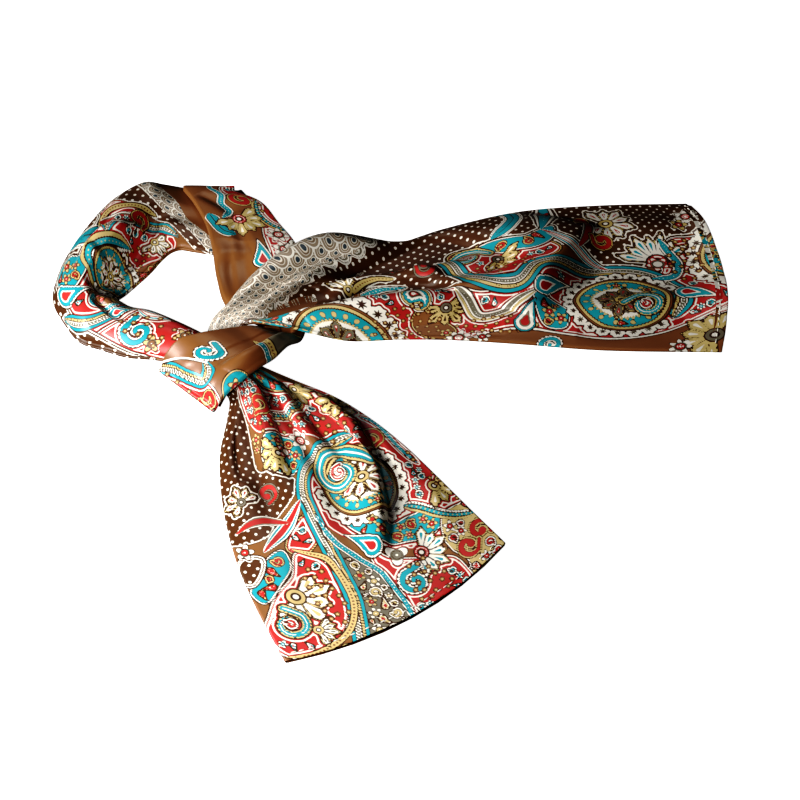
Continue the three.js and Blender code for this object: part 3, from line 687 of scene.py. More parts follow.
lowerTailCloth = {
    "cut": (0.32, 0.232),
    **tailGrid,
    "rows": [
        ((-117, 15, 2.7), (-101, 43, 2.7), (12, 0.5, 0)),
        ((-104, 2, 2.7), (-84, 32, 2.7), (9, 0.5, 0)),
        ((-104, -16, 0.6), (-62, 21, 0.6), (7, 0.5, 1)),
        ((-107, -46, 0), (-33, 5, 0), (4, 0.5, 3)),
        ((-105, -76, 0), (-8, -16, 0), (3, 0.5, 6)),
        ((-100, -106, 0), (14, -40, 0), (2, 0.5, 8)),
        ((-91, -140, 0), (34, -66, 0), (1, 0.5, 11)),
        ((-78, -174, 0), (54, -93, 0), (1, 0.5, 13)),
        ((-59, -215, 0), (76, -122, 0), (1, 0.5, 15)),
    ],
    "folds": [
        {"row": [1, 2.4, 4.5, 6.8], "at": [0.1, 0.1, 0.1, 0.1],
         "breadth": [0.14, 0.14, 0.14, 0.14], "height": [0, 7, 4, 0]},
        {"row": [0.8, 2.6, 5, 8], "at": [0.44, 0.42, 0.39, 0.36],
         "breadth": [0.2, 0.2, 0.2, 0.2], "height": [0, 10, 6, 1], "lean": 0.35},
        {"row": [1.3, 3, 5.5, 8], "at": [0.72, 0.69, 0.65, 0.6],
         "breadth": [0.13, 0.15, 0.17, 0.2], "height": [0, 6, 4, 1]},
        {"row": [1.6, 3.2, 5.5, 8], "at": [0.9, 0.9, 0.89, 0.88],
         "breadth": [0.1, 0.11, 0.12, 0.14], "height": [0, 4, 3, 1]},
    ],
    "creases": [
        (-6, 7, 8, [(16, 48), (30, 42), (49, 33), (72, 28), (98, 25)]),
        (4, 9, 5, [(24, 66), (42, 70), (64, 62), (88, 58), (112, 46)]),
        (-5, 5, 8, [(30, 100), (46, 84), (66, 76), (92, 68), (122, 60)]),
        (4, 8, 6, [(34, 116), (60, 101), (86, 95), (110, 92)]),
        (-4, 6, 7, [(40, 112), (58, 109), (80, 107), (104, 108), (128, 104)]),
        (9, 16, 7, [(60, 131), (95, 130), (120, 121), (141, 113), (163, 100), (186, 85)]),
        (-4, 4, 6, [(66, 139), (96, 140), (120, 130), (142, 123), (164, 110), (190, 93)]),
        (1.5, 12, 8, [(130, 40), (160, 30), (190, 20), (222, 14)]),
        (1.2, 9, 9, [(150, 150), (180, 140), (205, 128), (230, 120)]),
    ],
    "print": [
        ("zone", "dotted", [(-10, -80), (-10, 50), (48, 50), (75, 44), (90, 42), (96, 55), (112, 66),
                            (122, 58), (132, 40), (144, 28), (146, 10), (140, -10), (140, -80)]),
        ("zone", "red", [(10, 62), (24, 53), (42, 50), (58, 51), (70, 58), (82, 92), (92, 100), (100, 80),
                         (120, 66), (150, 66), (180, 90), (200, 130), (190, 160), (160, 180), (90, 175),
                         (56, 150), (30, 110)]),
        ("zone", "turquoise", [(150, 80), (160, 92), (168, 108), (170, 124), (176, 138), (186, 142),
                               (190, 128), (186, 112), (180, 98), (168, 86)], "white"),
        ("zone", "straw", [(184, 142), (196, 132), (208, 130), (222, 134), (244, 126), (244, 180),
                           (196, 180)], "white"),
        ("zone", "red", [(180, 84), (190, 92), (198, 104), (206, 118), (216, 128), (244, 124), (244, 78),
                         (224, 80), (204, 80)], "white"),
        ("zone", "taupe", [(150, 62), (166, 64), (194, 79), (221, 82), (244, 78), (244, 46), (215, 52),
                           (181, 60)]),
        ("zone", "red", [(138, 58), (150, 60), (158, 56), (163, 44), (156, 36), (146, 42)], "straw"),
        ("zone", "red", [(160, 40), (172, 52), (185, 54), (206, 51), (222, 40), (232, 20), (230, 2),
                         (212, -4), (200, 4), (188, 14), (176, 30)], "white"),
        ("zone", "turquoise", [(156, 32), (168, 32), (180, 20), (190, 6), (180, 2), (170, 14),
                               (160, 20)], "white"),
        ("zone", "dotted", [(154, 6), (158, 18), (168, 14), (176, 4), (168, -4)], "white"),
        ("zone", "turquoise", [(24, 92), (36, 98), (46, 108), (40, 118), (24, 116)], "straw"),
        ("zone", "turquoise", [(72, 64), (80, 50), (94, 50), (104, 62), (98, 78), (84, 82)], "white"),
        ("ribbon", "laced", 3, [(56, 72), (61, 88), (61, 104), (55, 120)]),
        ("daisy", 46, 124, 15, 0, 6, 200, "straw", "white"),
        ("daisy", 72, 137, 16, 0, 8, 360, "straw", "white", "red"),
        ("ribbon", "fringed", 1.8, [(86, 146), (95, 151), (123, 150), (140, 153)]),
        ("ribbon", "laced", 3.4, [(158, 122), (168, 131), (184, 141), (198, 162)]),
        ("ribbon", "stem", 5, [(100, 124), (95, 108), (98, 90), (109, 72), (123, 64), (138, 62), (157, 61),
                               (181, 59), (204, 56), (218, 51), (244, 40)], 0.05),
        ("ribbon", "golden", 1.7, [(156, 38), (163, 46), (172, 55), (185, 57), (208, 54), (224, 42),
                                   (232, 18), (230, 0)]),
        ("ribbon", "fringed", 2, [(140, 64), (152, 64), (166, 67), (180, 74), (194, 81), (208, 82), (221, 82),
                                  (244, 78)]),
        ("medallion", 132, 106, 27, 190, 230),
        ("horn", 118, 97, 18, 131, 1),
        ("flower", 83, 86, 8, 6, "white", "red"),
        ("daisy", 88, 62, 17, -80, 5, 150, "straw", "white"),
        ("flower", 87, 68, 6, 5, "red", "white"),
        ("daisy", 162, 150, 18, 40, 5, 150, "straw", "white"),
        ("daisy", 197, 112, 20, 60, 7, 170, "white", "turquoise", "red"),
        ("flower", 190, 97, 8, 3, "white", "taupe"),
        ("curl", 213, 96, 9, 200, 1),
        ("daisy", 191, 25, 23, 40, 6, 170, "white", "straw"),
        ("daisy", 217, 26, 12, 60, 5, 120, "white", "taupe"),
        ("horn", 209, 13, 10, 120, -1),
        ("daisy", 113, 19, 13, -150, 6, 220, "white", "red", "taupe"),
        ("flower", 150, 9, 6, 5),
        ("echo", "red", 0.7, 1.8),
        ("echo", "dotted", 0.6, 1.6),
        ("pips", 66, 80, 9, 22, 7),
        ("pips", 86, 122, 10, 24, 7),
        ("pips", 145, 158, 36, 7, 7),
        ("pips", 218, 104, 18, 18, 7),
        ("pips", 196, 42, 24, 9, 7),
        ("flower", 163, 96, 3.4, 5, "straw"),
        ("flower", 173, 112, 3.4, 5, "straw"),
        ("flower", 177, 128, 3.4, 5, "straw"),
        ("flower", 192, 68, 3.6, 5, "straw"),
        ("flower", 212, 64, 3.6, 5, "straw"),
        ("hook", 48, 70, 8, 0, 1),
        ("hook", 104, 140, 7, 20, 1),
        ("drop", 177, 86, 7.5, -152),
        ("ribbon", "petal", 4.5, [(154, 20), (147, 30), (138, 44), (126, 60)], 0.4),
        ("hook", 210, 154, 8, 90, 1),
        ("hook", 214, 140, 8, 30, -1),
        ("hook", 110, 40, 7, 40, 1, "red", "taupe"),
        ("ribbon", "redLeaf", 3, [(135, 8), (131, 20), (131, 32), (138, 46)], 0.4),
        ("fill", "red", (20, -10), (240, 180), 3),
        ("fill", "turquoise", (20, -10), (240, 180), 3),
        ("fill", "brown", (60, 10), (240, 180), 3.2),
        ("fill", "taupe", (150, 40), (240, 90), 1.8),
        ("fill", "straw", (180, 120), (240, 180), 2.6),
    ],
}

wrapCloth = {
    "cut": (0.095, 0.105),
    "rounded": {"end": 2.5},
    "hollow": False,
    "grooved": False,
    "spacing": 0.7,
    "columns": 90,
    "backColumns": 4,
    "foldEase": 10,
    "ripple": 0.06,
    "rows": [
        ((-92, 75, 2.5), (-54, 68, 1.5), (6, 0.5, 0)),
        ((-82, 66, 3.5), (-57, 56, 3), (4.6, 0.5, 0)),
        ((-92, 59.5, 12), (-65, 44, 10), (5, 0.5, 0)),
        ((-103, 54, 15.5), (-74, 29, 12.5), (5, 0.5, 0)),
        ((-114, 48, 19), (-80, 21, 15), (5, 0.5, 0)),
        ((-125, 43, 21), (-87, 13, 16), (5, 0.5, 0)),
        ((-138, 39, 19.5), (-97, 3, 14), (5, 0.5, 0)),
        ((-147, 34, 11), (-107, -5, 8.5), (5, 0.5, 0)),
        ((-151, 30.5, 0.6), (-112, -8, 0.6), (4.2, 0.5, 0)),
    ],
    "folds": [
        {"row": [0, 2, 4, 6.5], "at": [0.6, 0.58, 0.6, 0.62],
         "breadth": [0.2, 0.2, 0.18, 0.14], "height": [-4, -5, -4, 0]},
        {"row": [0, 2, 5, 8], "at": [0.84, 0.82, 0.82, 0.85],
         "breadth": [0.22, 0.24, 0.24, 0.2], "height": [0, 5, 5, 1]},
    ],
    "creases": [
        (2, 9, 6, [(78, 46), (62, 42), (46, 36), (30, 27)]),
        (-2.5, 5, 6, [(80, 60), (62, 54), (46, 48), (28, 38)]),
        (1.5, 6, 6, [(96, 16), (84, 22), (72, 30)]),
    ],
    "print": [
        ("zone", "red", [(94, 24), (100, 4), (108, -10), (124, -10), (124, 60), (98, 60), (92, 44)], "white"),
        ("zone", "taupe", [(14, 24), (34, 26), (38, 36), (36, 64), (10, 64)], "straw"),
        ("zone", "turquoise", [(72, 50), (84, 50), (90, 58), (84, 66), (70, 64)], "straw"),
        ("ribbon", "golden", 2.4, [(41, 18), (40, 34), (41, 44), (46, 62)]),
        ("ribbon", "fringed", 2.4, [(47, 24), (46, 34), (47, 44), (52, 62)]),
        ("ribbon", "stem", 4.5, [(106, -8), (98, 10), (95, 26), (91, 37), (84, 34), (80, 26)]),
        ("curl", 74, 20, 8, 150, -1),
        ("ribbon", "line", 0.7, [(104, -10), (96, 2), (88, 12), (83, 22), (80, 30)]),
        ("flower", 80, 57, 5, 5, "straw", "red"),
        ("echo", "red", 0.7, 1.8),
        ("pips", 106, 24, 7, 24, 6.5),
        ("hook", 100, 46, 6, 0, 1),
        ("fill", "red", (90, -20), (124, 70), 3),
    ],
}

underCloth = {
    "cut": (0.09, 0.05),
    "hollow": False,
    "spacing": 1.5,
    "columns": 30,
    "backColumns": 4,
    "foldEase": 5,
    "ripple": 0,
    "rows": [
        ((-146, 32, 0), (-109, -3, 0), (2.4, 0.5, 0)),
        ((-136, 46, 0), (-101, 24, 0), (2.4, 0.5, 0)),
        ((-122, 63, 0), (-98, 59, 0), (2.4, 0.5, 0)),
    ],
    "folds": [],
    "creases": [],
    "print": [],
}

sideCloth = {
    "cut": (0.125, 0.149),
    "rounded": {"start": 5},
    "hollow": False,
    "spacing": 0.8,
    "columns": 110,
    "backColumns": 4,
    "foldEase": 12,
    "ripple": 0.1,
    "rows": [
        ((-147, 205, 9), (-110, 207, 4.5), (5, 0.4, 0)),
        ((-139, 192, 9), (-90, 195, 4.5), (5, 0.4, 0)),
        ((-129, 170, 8), (-76, 172, 4.5), (5, 0.4, 0)),
        ((-123, 146, 7), (-63, 149, 4.5), (6, 0.4, 0)),
        ((-118, 118, 1), (-55, 122, 0.6), (7, 0.4, 0)),
        ((-110, 92, 0), (-51, 94, 0), (8, 0.4, 0)),
        ((-92, 75, 2.5), (-54, 68, 1.5), (6, 0.5, 0)),
    ],
    "folds": [
        {"row": [1.2, 2.7, 6], "at": [0.42, 0.38, 0.3],
         "breadth": [0.14, 0.15, 0.16], "height": [0, -1.5, -3]},
    ],
    "creases": [
        (-3, 6, 12, [(66, 14), (82, 12), (100, 10), (122, 10)]),
        (1.5, 5, 6, [(80, 0), (78, 12), (76, 26)]),
        (-2, 6, 8, [(10, 6), (22, 16), (36, 22)]),
    ],
    "print": [
        ("zone", "red", [(-4, 28), (10, 26), (22, 42), (43, 40), (60, 38), (78, 40), (104, 46), (112, 90),
                         (-4, 90)], "white"),
        ("zone", "brown", [(58, 12), (70, 22), (92, 24), (106, 30), (112, 10), (80, -4)]),
        ("ribbon", "fringed", 2.4, [(-4, 16), (10, 22), (22, 18), (32, 20), (42, 12)]),
        ("ribbon", "leaf", 4, [(36, 4), (46, 6), (56, 10), (60, 18)]),
        ("ribbon", "laced", 3, [(18, 44), (34, 40), (46, 44), (56, 56)]),
        ("daisy", 42, 24, 19, 30, 7, 200, "straw", "white", "red"),
        ("flower", 60, 48, 8, 7),
        ("flower", 76, 50, 8, 7),
        ("flower", 91, 54, 8, 7),
        ("medallion", 84, 74, 20, 0, 360),
        ("echo", "red", 0.7, 1.8),
        ("pips", 24, 56, 20, 14, 7),
        ("hook", 18, 34, 8, 200, 1),
        ("drop", 86, 34, 7.5, 178),
        ("fill", "red", (0, 20), (120, 90), 3),
    ],
}

ringCloth = {
    "cut": (0.136, 0.3),
    "rounded": {"start": 3},
    "hollow": False,
    "spacing": 0.85,
    "columns": 130,
    "backColumns": 5,
    "foldEase": 14,
    "ripple": 0.12,
    "rows": [
        ((-108, 213, 0), (-65, 147, 0), (2.4, 0.5, 0)),
        ((-128, 213, 0), (-92, 150, 0), (4, 0.3, 0)),
        ((-148, 214, 0), (-120, 146, 0), (8, 0.2, 0)),
        ((-162, 214, 0), (-136, 149, 0), (13, 0.2, 0)),
        ((-176, 212, 0), (-146, 151, 0), (18, 0.2, 0)),
        ((-188, 204, 0), (-152, 148, 0), (19, 0.25, 0)),
        ((-202, 186, 0), (-158, 140, 0), (23, 0.3, 0)),
        ((-212, 167, 0), (-165, 127, 0), (25, 0.35, 0)),
        ((-222, 145, 0), (-173, 115, 0), (26, 0.4, 0)),
        ((-230, 120, 0), (-181, 104, 0), (25, 0.45, 0)),
        ((-231, 98, 0), (-187, 97, 0), (23, 0.5, 0)),
        ((-220, 74, 0), (-188, 91, 0), (20, 0.5, 0)),
        ((-208, 57, 0), (-181, 90, 0), (20, 0.5, 0)),
        ((-193, 50, 0), (-171, 86, 0), (19, 0.5, 0)),
        ((-175, 42, 1), (-158, 82, 1), (18, 0.5, 0)),
        ((-156, 38, 2.7), (-142, 72, 2.7), (16, 0.5, 0)),
        ((-135, 32, 2.7), (-122, 59, 2.7), (14, 0.5, 0)),
        ((-117, 15, 2.7), (-101, 43, 2.7), (12, 0.5, 0)),
    ],
    "folds": [
        {"row": [1.5, 4, 5.5, 7, 9, 10.8], "at": [0.5, 0.56, 0.66, 0.7, 0.72, 0.72],
         "breadth": [0.2, 0.2, 0.22, 0.22, 0.22, 0.2], "height": [0, -4, -8, -9, -9, 0]},
        {"row": [4, 6.5, 9, 10.8], "at": [0.84, 0.84, 0.85, 0.86],
         "breadth": [0.25, 0.25, 0.25, 0.25], "height": [0, -7, -8, 0]},
        {"row": [5.6, 7, 8.5, 9.8], "at": [0.3, 0.29, 0.27, 0.26],
         "breadth": [0.09, 0.09, 0.09, 0.09], "height": [0, -4, -3.5, 0]},
        {"row": [10.4, 11.5, 14], "at": [0.72, 0.62, 0.4],
         "breadth": [0.14, 0.14, 0.12], "height": [0, -5, 0]},
        {"row": [12.5, 14, 15.8], "at": [0.75, 0.75, 0.75],
         "breadth": [0.2, 0.2, 0.2], "height": [0, 2, 0]},
    ],
    "creases": [
        (3, 5, 5, [(152, 57), (149, 42), (142, 30), (129, 36), (115, 44), (102, 52), (90, 66)]),
        (-3, 5, 7, [(168, 34), (176, 48), (184, 62), (190, 76)]),
        (2, 6, 6, [(186, 30), (198, 40), (206, 56)]),
        (-2, 6, 6, [(206, 12), (216, 26), (222, 44)]),
    ],
    "scaleTurn": -60,
    "print": [
        ("zone", "red", [(100, 20), (130, 14), (160, 12), (200, 0), (212, 4), (222, 22), (230, 60), (200, 70),
                         (160, 70), (120, 80), (90, 84), (76, 76), (92, 40)]),
        ("zone", "dotted", [(82, -10), (100, 14), (94, 30), (86, 46), (74, 62), (62, 78), (50, 84), (56, 60),
                            (66, 40), (70, 20), (70, -10)]),
        ("zone", "scale", [(82, -10), (80, 10), (74, 41), (64, 50), (57, 63), (46, 84), (38, 76), (50, 54),
                           (57, 43), (60, 28), (70, 12), (74, -10)]),
        ("zone", "scale", [(88, -10), (92, 14), (104, 20), (116, 20), (128, 10), (126, -10)]),
        ("zone", "red", [(212, 2), (222, 22), (236, 42), (262, 48), (300, 60), (300, 2), (236, 0)], "white"),
        ("zone", "dotted", [(112, -30), (116, 20), (124, 24), (136, 25), (150, 25), (166, 23), (177, 16),
                            (188, 9), (202, 9), (219, 5), (236, 1), (250, -4), (254, -30)], "white"),
        ("zone", "red", [(70, 92), (100, 90), (130, 96), (150, 95), (150, 120), (70, 120)]),
        ("zone", "turquoise", [(152, 30), (165, 34), (179, 22), (174, 11), (160, 13)], "white"),
        ("zone", "brown", [(184, 30), (200, 34), (214, 44), (206, 60), (184, 56)], "straw"),
        ("ribbon", "golden", 1.9, [(132, 32), (111, 25), (93, 33), (80, 48)]),
        ("ribbon", "stem", 4.5, [(130, 40), (114, 36), (98, 48), (84, 58), (72, 72)]),
        ("ribbon", "laced", 6, [(118, 62), (129, 48), (140, 39), (152, 35), (164, 44), (172, 58)]),
        ("ribbon", "leaf", 4.5, [(124, 33), (136, 24), (147, 11)]),
        ("medallion", 150, 60, 20, 250, 220),
        ("daisy", 96, 68, 14, 90, 6, 180, "white", "taupe"),
        ("ribbon", "stem", 4.5, [(188, 0), (203, 12), (210, 20), (218, 36), (228, 48)]),
        ("ribbon", "fringed", 2, [(184, 34), (196, 26), (204, 30), (212, 42)]),
        ("daisy", 196, 44, 14, 80, 6, 180, "straw", "taupe", "red"),
        ("curl", 237, 16, 10, 180, 1),
        ("ribbon", "petal", 4, [(226, 38), (236, 33), (248, 33), (258, 38)], 0.4),
        ("flower", 249, 8, 6, 5, "straw", "brown"),
        ("flower", 268, 18, 6, 6, "straw", "brown"),
        ("flower", 268, 38, 7, 7),
        ("flower", 280, 26, 5, 5, "straw", "brown"),
        ("echo", "red", 0.7, 1.8),
        ("echo", "dotted", 0.6, 1.6),
        ("pips", 250, 22, 28, 16, 9),
        ("pips", 120, 70, 16, 10, 7),
        ("flower", 162, 26, 4, 5, "straw"),
        ("flower", 171, 19, 4, 5, "straw"),
        ("ribbon", "redLeaf", 4.5, [(122, 26), (113, 34), (104, 42), (92, 47)], 0.4),
        ("hook", 96, 46, 7, 120, 1),
        ("drop", 181, 13, 7.5, 82),
        ("drop", 214, 30, 5, 40),
        ("fill", "red", (60, -20), (226, 110), 3),
        ("fill", "turquoise", (60, -20), (300, 110), 3),
        ("fill", "brown", (96, 0), (300, 90), 3.2),
    ],
}


def linear(hexText):  # an sRGB hex value as a linear colour
    parts = [int(hexText[i:i + 2], 16) / 255 for i in (1, 3, 5)]
    return [p / 12.92 if p <= 0.04045 else ((p + 0.055) / 1.055) ** 2.4 for p in parts] + [1]


def addNode(tree, kind, settings=None, links=None):  # one node with its settings, and what feeds its sockets
    node = tree.nodes.new(kind)
    for key, value in (settings or {}).items():
        setattr(node, key, value)
    for key, value in (links or {}).items():
        if isinstance(value, bpy.types.NodeSocket):
            tree.links.new(value, node.inputs[key])
        else:
            node.inputs[key].default_value = value
    return node


silk = bpy.data.materials.new("printedSilkSatin")  # glossy printed satin: crisp inks, broad soft highlights
silk.use_nodes = True
tree = silk.node_tree
tree.nodes.clear()
flatCut = addNode(tree, "ShaderNodeUVMap", {"uv_map": "flatCut"}).outputs[0]
bandCut = addNode(tree, "ShaderNodeUVMap", {"uv_map": "bandCut"}).outputs[0]

dotPitch = 5.8 * mm
dotRadius = 1.0 * mm
dotTurned = addNode(tree, "ShaderNodeMapping", None, {
    "Vector": flatCut, "Rotation": (0, 0, math.pi / 4), "Scale": (1 / dotPitch, 1 / dotPitch, 0)}).outputs[0]
dotCell = addNode(tree, "ShaderNodeVectorMath", {"operation": "FRACTION"}, {0: dotTurned}).outputs[0]
dotAway = addNode(tree, "ShaderNodeVectorMath", {"operation": "DISTANCE"}, {0: dotCell, 1: (0.5, 0.5, 0)})
inDot = addNode(tree, "ShaderNodeMath", {"operation": "LESS_THAN"}, {
    0: dotAway.outputs["Value"], 1: dotRadius / dotPitch})

scaleWide = 9.6 * mm
scaleStep = 6.2 * mm
scaleRise = 0.52  # height of a step as a share of a scale's width, as drawn
split = addNode(tree, "ShaderNodeSeparateXYZ", None, {0: bandCut})
rowAt = addNode(tree, "ShaderNodeMath", {"operation": "DIVIDE"}, {
    0: split.outputs[1], 1: scaleStep}).outputs[0]
rowShare = addNode(tree, "ShaderNodeMath", {"operation": "FRACT"}, {0: rowAt}).outputs[0]
rowNumber = addNode(tree, "ShaderNodeMath", {"operation": "FLOOR"}, {0: rowAt}).outputs[0]
halved = addNode(tree, "ShaderNodeMath", {"operation": "MULTIPLY"}, {0: rowNumber, 1: 0.5}).outputs[0]
rowHalf = addNode(tree, "ShaderNodeMath", {"operation": "FRACT"}, {0: halved}).outputs[0]
scaleAt = addNode(tree, "ShaderNodeMath", {"operation": "DIVIDE"}, {
    0: split.outputs[0], 1: scaleWide}).outputs[0]
rings = []  # distance from the middle of the scale in the row above, then in the row below
for shift, rise in ((rowHalf, rowShare), (
        addNode(tree, "ShaderNodeMath", {"operation": "SUBTRACT"}, {0: 0.5, 1: rowHalf}).outputs[0],
        addNode(tree, "ShaderNodeMath", {"operation": "SUBTRACT"}, {0: 1, 1: rowShare}).outputs[0])):
    moved = addNode(tree, "ShaderNodeMath", {"operation": "ADD"}, {0: scaleAt, 1: shift}).outputs[0]
    inCell = addNode(tree, "ShaderNodeMath", {"operation": "FRACT"}, {0: moved}).outputs[0]
    high = addNode(tree, "ShaderNodeMath", {"operation": "MULTIPLY"}, {0: rise, 1: scaleRise}).outputs[0]
    spot = addNode(tree, "ShaderNodeCombineXYZ", None, {0: inCell, 1: high}).outputs[0]
    away = addNode(tree, "ShaderNodeVectorMath", {"operation": "DISTANCE"}, {0: spot, 1: (0.5, 0, 0)})
    rings.append(away.outputs["Value"])
outside = addNode(tree, "ShaderNodeMath", {"operation": "GREATER_THAN"}, {0: rings[0], 1: 0.5}).outputs[0]
ring = addNode(tree, "ShaderNodeMix", None, {"Factor": outside, "A": rings[0], "B": rings[1]}).outputs[0]
scaleRamp = addNode(tree, "ShaderNodeValToRGB", None, {
    "Fac": addNode(tree, "ShaderNodeMath", {"operation": "MULTIPLY"}, {0: ring, 1: 2}).outputs[0]})
scaleRamp.color_ramp.interpolation = "CONSTANT"
scaleBands = [(0, "#4B5358"), (0.26, "#E4DCCB"), (0.38, "#8A7662"), (0.54, "#E0D8C8"), (0.61, "#988672"),
              (0.84, "#EFE9DC")]
while len(scaleRamp.color_ramp.elements) < len(scaleBands):
    scaleRamp.color_ramp.elements.new(0.5)
for stop, (at, hexText) in zip(scaleRamp.color_ramp.elements, scaleBands):
    stop.position = at
    stop.color = linear(hexText)

inkColours = {"brown": "#855A39", "dotted": "#573924", "red": "#B43835", "turquoise": "#2A9BA6",
              "straw": "#CDB67C", "white": "#EFE9DC", "taupe": "#77705F", "dark": "#43291A"}
dotted = addNode(tree, "ShaderNodeMix", {"data_type": "RGBA"}, {
    "Factor": inDot.outputs[0], 6: linear(inkColours["dotted"]), 7: linear(inkColours["white"])}).outputs[2]
depths = []
for key in inkFields:
    field = addNode(tree, "ShaderNodeAttribute", {"attribute_name": key}).outputs["Vector"]
    depths += list(addNode(tree, "ShaderNodeSeparateXYZ", None, {0: field}).outputs)
shown, topDepth = linear(inkColours[inkNames[0]]), depths[0]
for ink, depth in zip(inkNames[1:], depths[1:]):  # the ink with the greatest depth is the one that shows
    colour = {"dotted": dotted, "scale": scaleRamp.outputs[0]}.get(ink) or linear(inkColours[ink])
    above = addNode(tree, "ShaderNodeMath", {"operation": "GREATER_THAN"}, {0: depth, 1: topDepth}).outputs[0]
    shown = addNode(tree, "ShaderNodeMix", {"data_type": "RGBA"}, {
        "Factor": above, 6: shown, 7: colour}).outputs[2]
    topDepth = addNode(tree, "ShaderNodeMath", {"operation": "MAXIMUM"}, {0: depth, 1: topDepth}).outputs[0]

# The real weave is too fine to show, so its threads are drawn five to fifteen times as coarse
weaveCells = (900, 2600, 1)  # along and across the cloth, in a metre
weaveDepth = 0.4 * mm
weaveGrid = addNode(tree, "ShaderNodeMapping", None, {"Vector": flatCut, "Scale": weaveCells}).outputs[0]
weave = addNode(tree, "ShaderNodeTexNoise", None, {"Vector": weaveGrid, "Scale": 1, "Detail": 1}).outputs[0]
weaveBump = addNode(tree, "ShaderNodeBump", None, {"Strength": 0.12, "Distance": weaveDepth, "Height": weave})
shader = addNode(tree, "ShaderNodeBsdfPrincipled", None, {
    "Base Color": shown, "Roughness": 0.38, "Specular IOR Level": 0.5, "Sheen Weight": 0.04,
    "Sheen Roughness": 0.4, "Normal": weaveBump.outputs[0]})
addNode(tree, "ShaderNodeOutputMaterial", None, {"Surface": shader.outputs[0]})
print("material ready")

thread = bpy.data.materials.new("whiteCottonThread")  # matt pale thread: a fine bright broken line at a hem
thread.use_nodes = True
threadTree = thread.node_tree
threadShader = threadTree.nodes["Principled BSDF"]
fibreSize = 0.25 * mm
threadGrain = addNode(threadTree, "ShaderNodeTexNoise", None, {
    "Vector": addNode(threadTree, "ShaderNodeTexCoord").outputs["Object"], "Scale": 1 / fibreSize})
threadTint = addNode(threadTree, "ShaderNodeMix", {"data_type": "RGBA"}, {
    "Factor": threadGrain.outputs[0], 6: linear("#DAD4C6"), 7: linear("#F6F2E8")})
threadTree.links.new(threadTint.outputs[2], threadShader.inputs["Base Color"])
threadShader.inputs["Roughness"].default_value = 0.75

stitching = {"inset": 4.5, "pitch": 5.2, "length": 3.4, "thickness": 0.9, "margin": 5, "lift": 0.1}  # mm


def sewStitches(name, cloth, laid):  # a row of short thread stitches beside a hem
    hemAt = cloth["cut"][1] / mm - stitching["inset"]
    row = np.abs(laid["u"][:-len(hemRows), 0] - hemAt).argmin()
    across = laid["v"][row, laid["front"]]
    place = laid["place"][row, laid["front"]]
    up = outwards(laid)[row, laid["front"]]
    stitches = bmesh.new()
    for v in np.arange(across[0] + stitching["margin"], across[-1] - stitching["margin"], stitching["pitch"]):
        k = np.searchsorted(across, v)
        run = Vector(place[k + 1] - place[k - 1]).normalized()
        out = Vector(up[k])
        side = run.cross(out)
        half = stitching["thickness"] / 2
        form = Matrix((run * stitching["length"] / 2, side * half, out * half)).transposed().to_4x4()
        form.translation = Vector(place[k]) + out * stitching["lift"]
        bmesh.ops.create_icosphere(stitches, subdivisions=2, radius=1, matrix=Matrix.Scale(mm, 4) @ form)
    mesh = bpy.data.meshes.new(name)
    stitches.to_mesh(mesh)
    stitches.free()
    mesh.polygons.foreach_set("use_smooth", [True] * len(mesh.polygons))
    mesh.materials.append(thread)
    piece = bpy.data.objects.new(name, mesh)
    bpy.context.collection.objects.link(piece)
    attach(piece, "root")
    return piece


def makeSheet(name, cloth):  # lays, presses, closes, prints and sews one stretch of the cloth
    laid = layCloth(cloth)
    pressCreases(cloth, laid)
    for end, reach in cloth.get("rounded", {}).items():
        closeEnd(laid, end, reach)
    if cloth["hollow"]:
        turnIn(laid)
    printCloth(cloth, laid)
    return sewCloth(name, laid), laid


sheets = {  # piece: its cloth, the nodes it stands for, what it rests on
    "rightTail": (rightTailCloth, ["right_tail"], ["ring_right", "knot_wrap"]),
    "lowerTail": (lowerTailCloth, ["lower_tail"], []),
    "knotWrap": (wrapCloth, ["knot_wrap"], ["lower_tail", "knot_under"]),
    "knotUnder": (underCloth, ["knot_under"], []),
    "ringSide": (sideCloth, ["ring_right"], ["ring_top"]),
    "neckRing": (ringCloth, ["ring_top", "ring_left", "ring_bottom"], []),
}
made = {name: makeSheet(name, cloth) for name, (cloth, nodes, under) in sheets.items()}
for name, (cloth, nodes, under) in sheets.items():
    piece, laid = made[name]
    piece.data.materials.append(silk)
    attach(piece, "root")
    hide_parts(*nodes)
    sewn = [sewStitches(name + "Stitches", cloth, laid)] if cloth["hollow"] else []

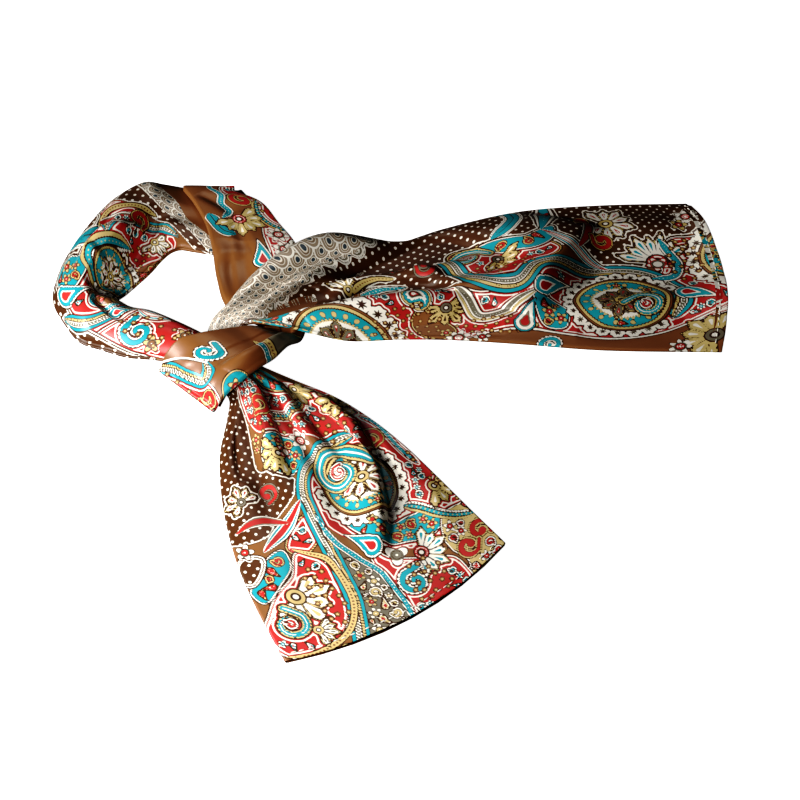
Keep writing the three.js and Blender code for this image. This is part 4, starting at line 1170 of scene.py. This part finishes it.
floorReach = 30  # metres, so that no edge of the floor shows
floorGap = 0.2 * mm  # under the cloth
floorMesh = bpy.data.meshes.new("studioFloor")
floorCut = bmesh.new()
bmesh.ops.create_grid(floorCut, x_segments=1, y_segments=1, size=floorReach)
bmesh.ops.translate(floorCut, verts=floorCut.verts, vec=(0, 0, -floorGap))
floorCut.to_mesh(floorMesh)
floorCut.free()
studioFloor = bpy.data.objects.new("studioFloor", floorMesh)
bpy.context.collection.objects.link(studioFloor)
paper = bpy.data.materials.new("whitePaperSweep")  # an even white ground
paper.use_nodes = True
for key, value in (("Base Color", linear("#F4F4F4")), ("Roughness", 0.9),
                   ("Emission Color", linear("#FFFFFF")), ("Emission Strength", 1)):
    paper.node_tree.nodes["Principled BSDF"].inputs[key].default_value = value
floorMesh.materials.append(paper)
studioFloor.visible_diffuse = False  # a backdrop only: the cloth gets no light back from the floor
studioFloor.visible_glossy = False

world = bpy.data.worlds.new("studioWorld")
bpy.context.scene.world = world
world.use_nodes = True
world.node_tree.nodes["Background"].inputs["Color"].default_value = linear("#FFFFFF")
world.node_tree.nodes["Background"].inputs["Strength"].default_value = 0.015

lightAim = (-0.03, 0.03, 0)
studioLights = [  # name, place and size in metres, power in watts
    ("keyBox", (-0.81, -0.17, 0.4), 0.12, 9.5),
    ("nearBox", (-0.26, -0.33, 0.25), 0.12, 2.3),
    ("glossBox", (-0.05, 0.46, 0.65), 0.3, 0.9),
    ("fillBox", (0.3, -0.7, 1.3), 0.8, 1.3),
]
for name, place, size, power in studioLights:
    lamp = bpy.data.lights.new(name, "AREA")
    lamp.size = size
    lamp.energy = power
    light = bpy.data.objects.new(name, lamp)
    bpy.context.collection.objects.link(light)
    light.location = place
    light.visible_diffuse = name != "glossBox"  # this one only shines on the satin
    aim = np.array(lightAim) - np.array(place)
    tilt = math.acos(-aim[2] / np.linalg.norm(aim))
    light.rotation_euler = (tilt, 0, math.atan2(aim[1], aim[0]) - math.pi / 2)

photoView = {"place": (0.010, -1.0449, 1.0862), "tilt": 44, "angle": 20}  # metres and degrees, estimated
lens = bpy.data.cameras.new("photoCamera")
lens.sensor_width = 36
lens.angle = math.radians(photoView["angle"])
camera = bpy.data.objects.new("photoCamera", lens)
camera.location = photoView["place"]
camera.rotation_euler = (math.radians(photoView["tilt"]), 0, 0)
bpy.context.collection.objects.link(camera)
bpy.context.scene.camera = camera
look = bpy.context.scene.view_settings
look.view_transform = "Standard"
look.use_curve_mapping = True  # deep shadows, as in a hard lit picture
toneCurve = look.curve_mapping.curves[3]
for level, tone in ((0.025, 0.003), (0.07, 0.02), (0.2, 0.145)):
    toneCurve.points.new(level, tone)
look.curve_mapping.update()
print("stage ready")
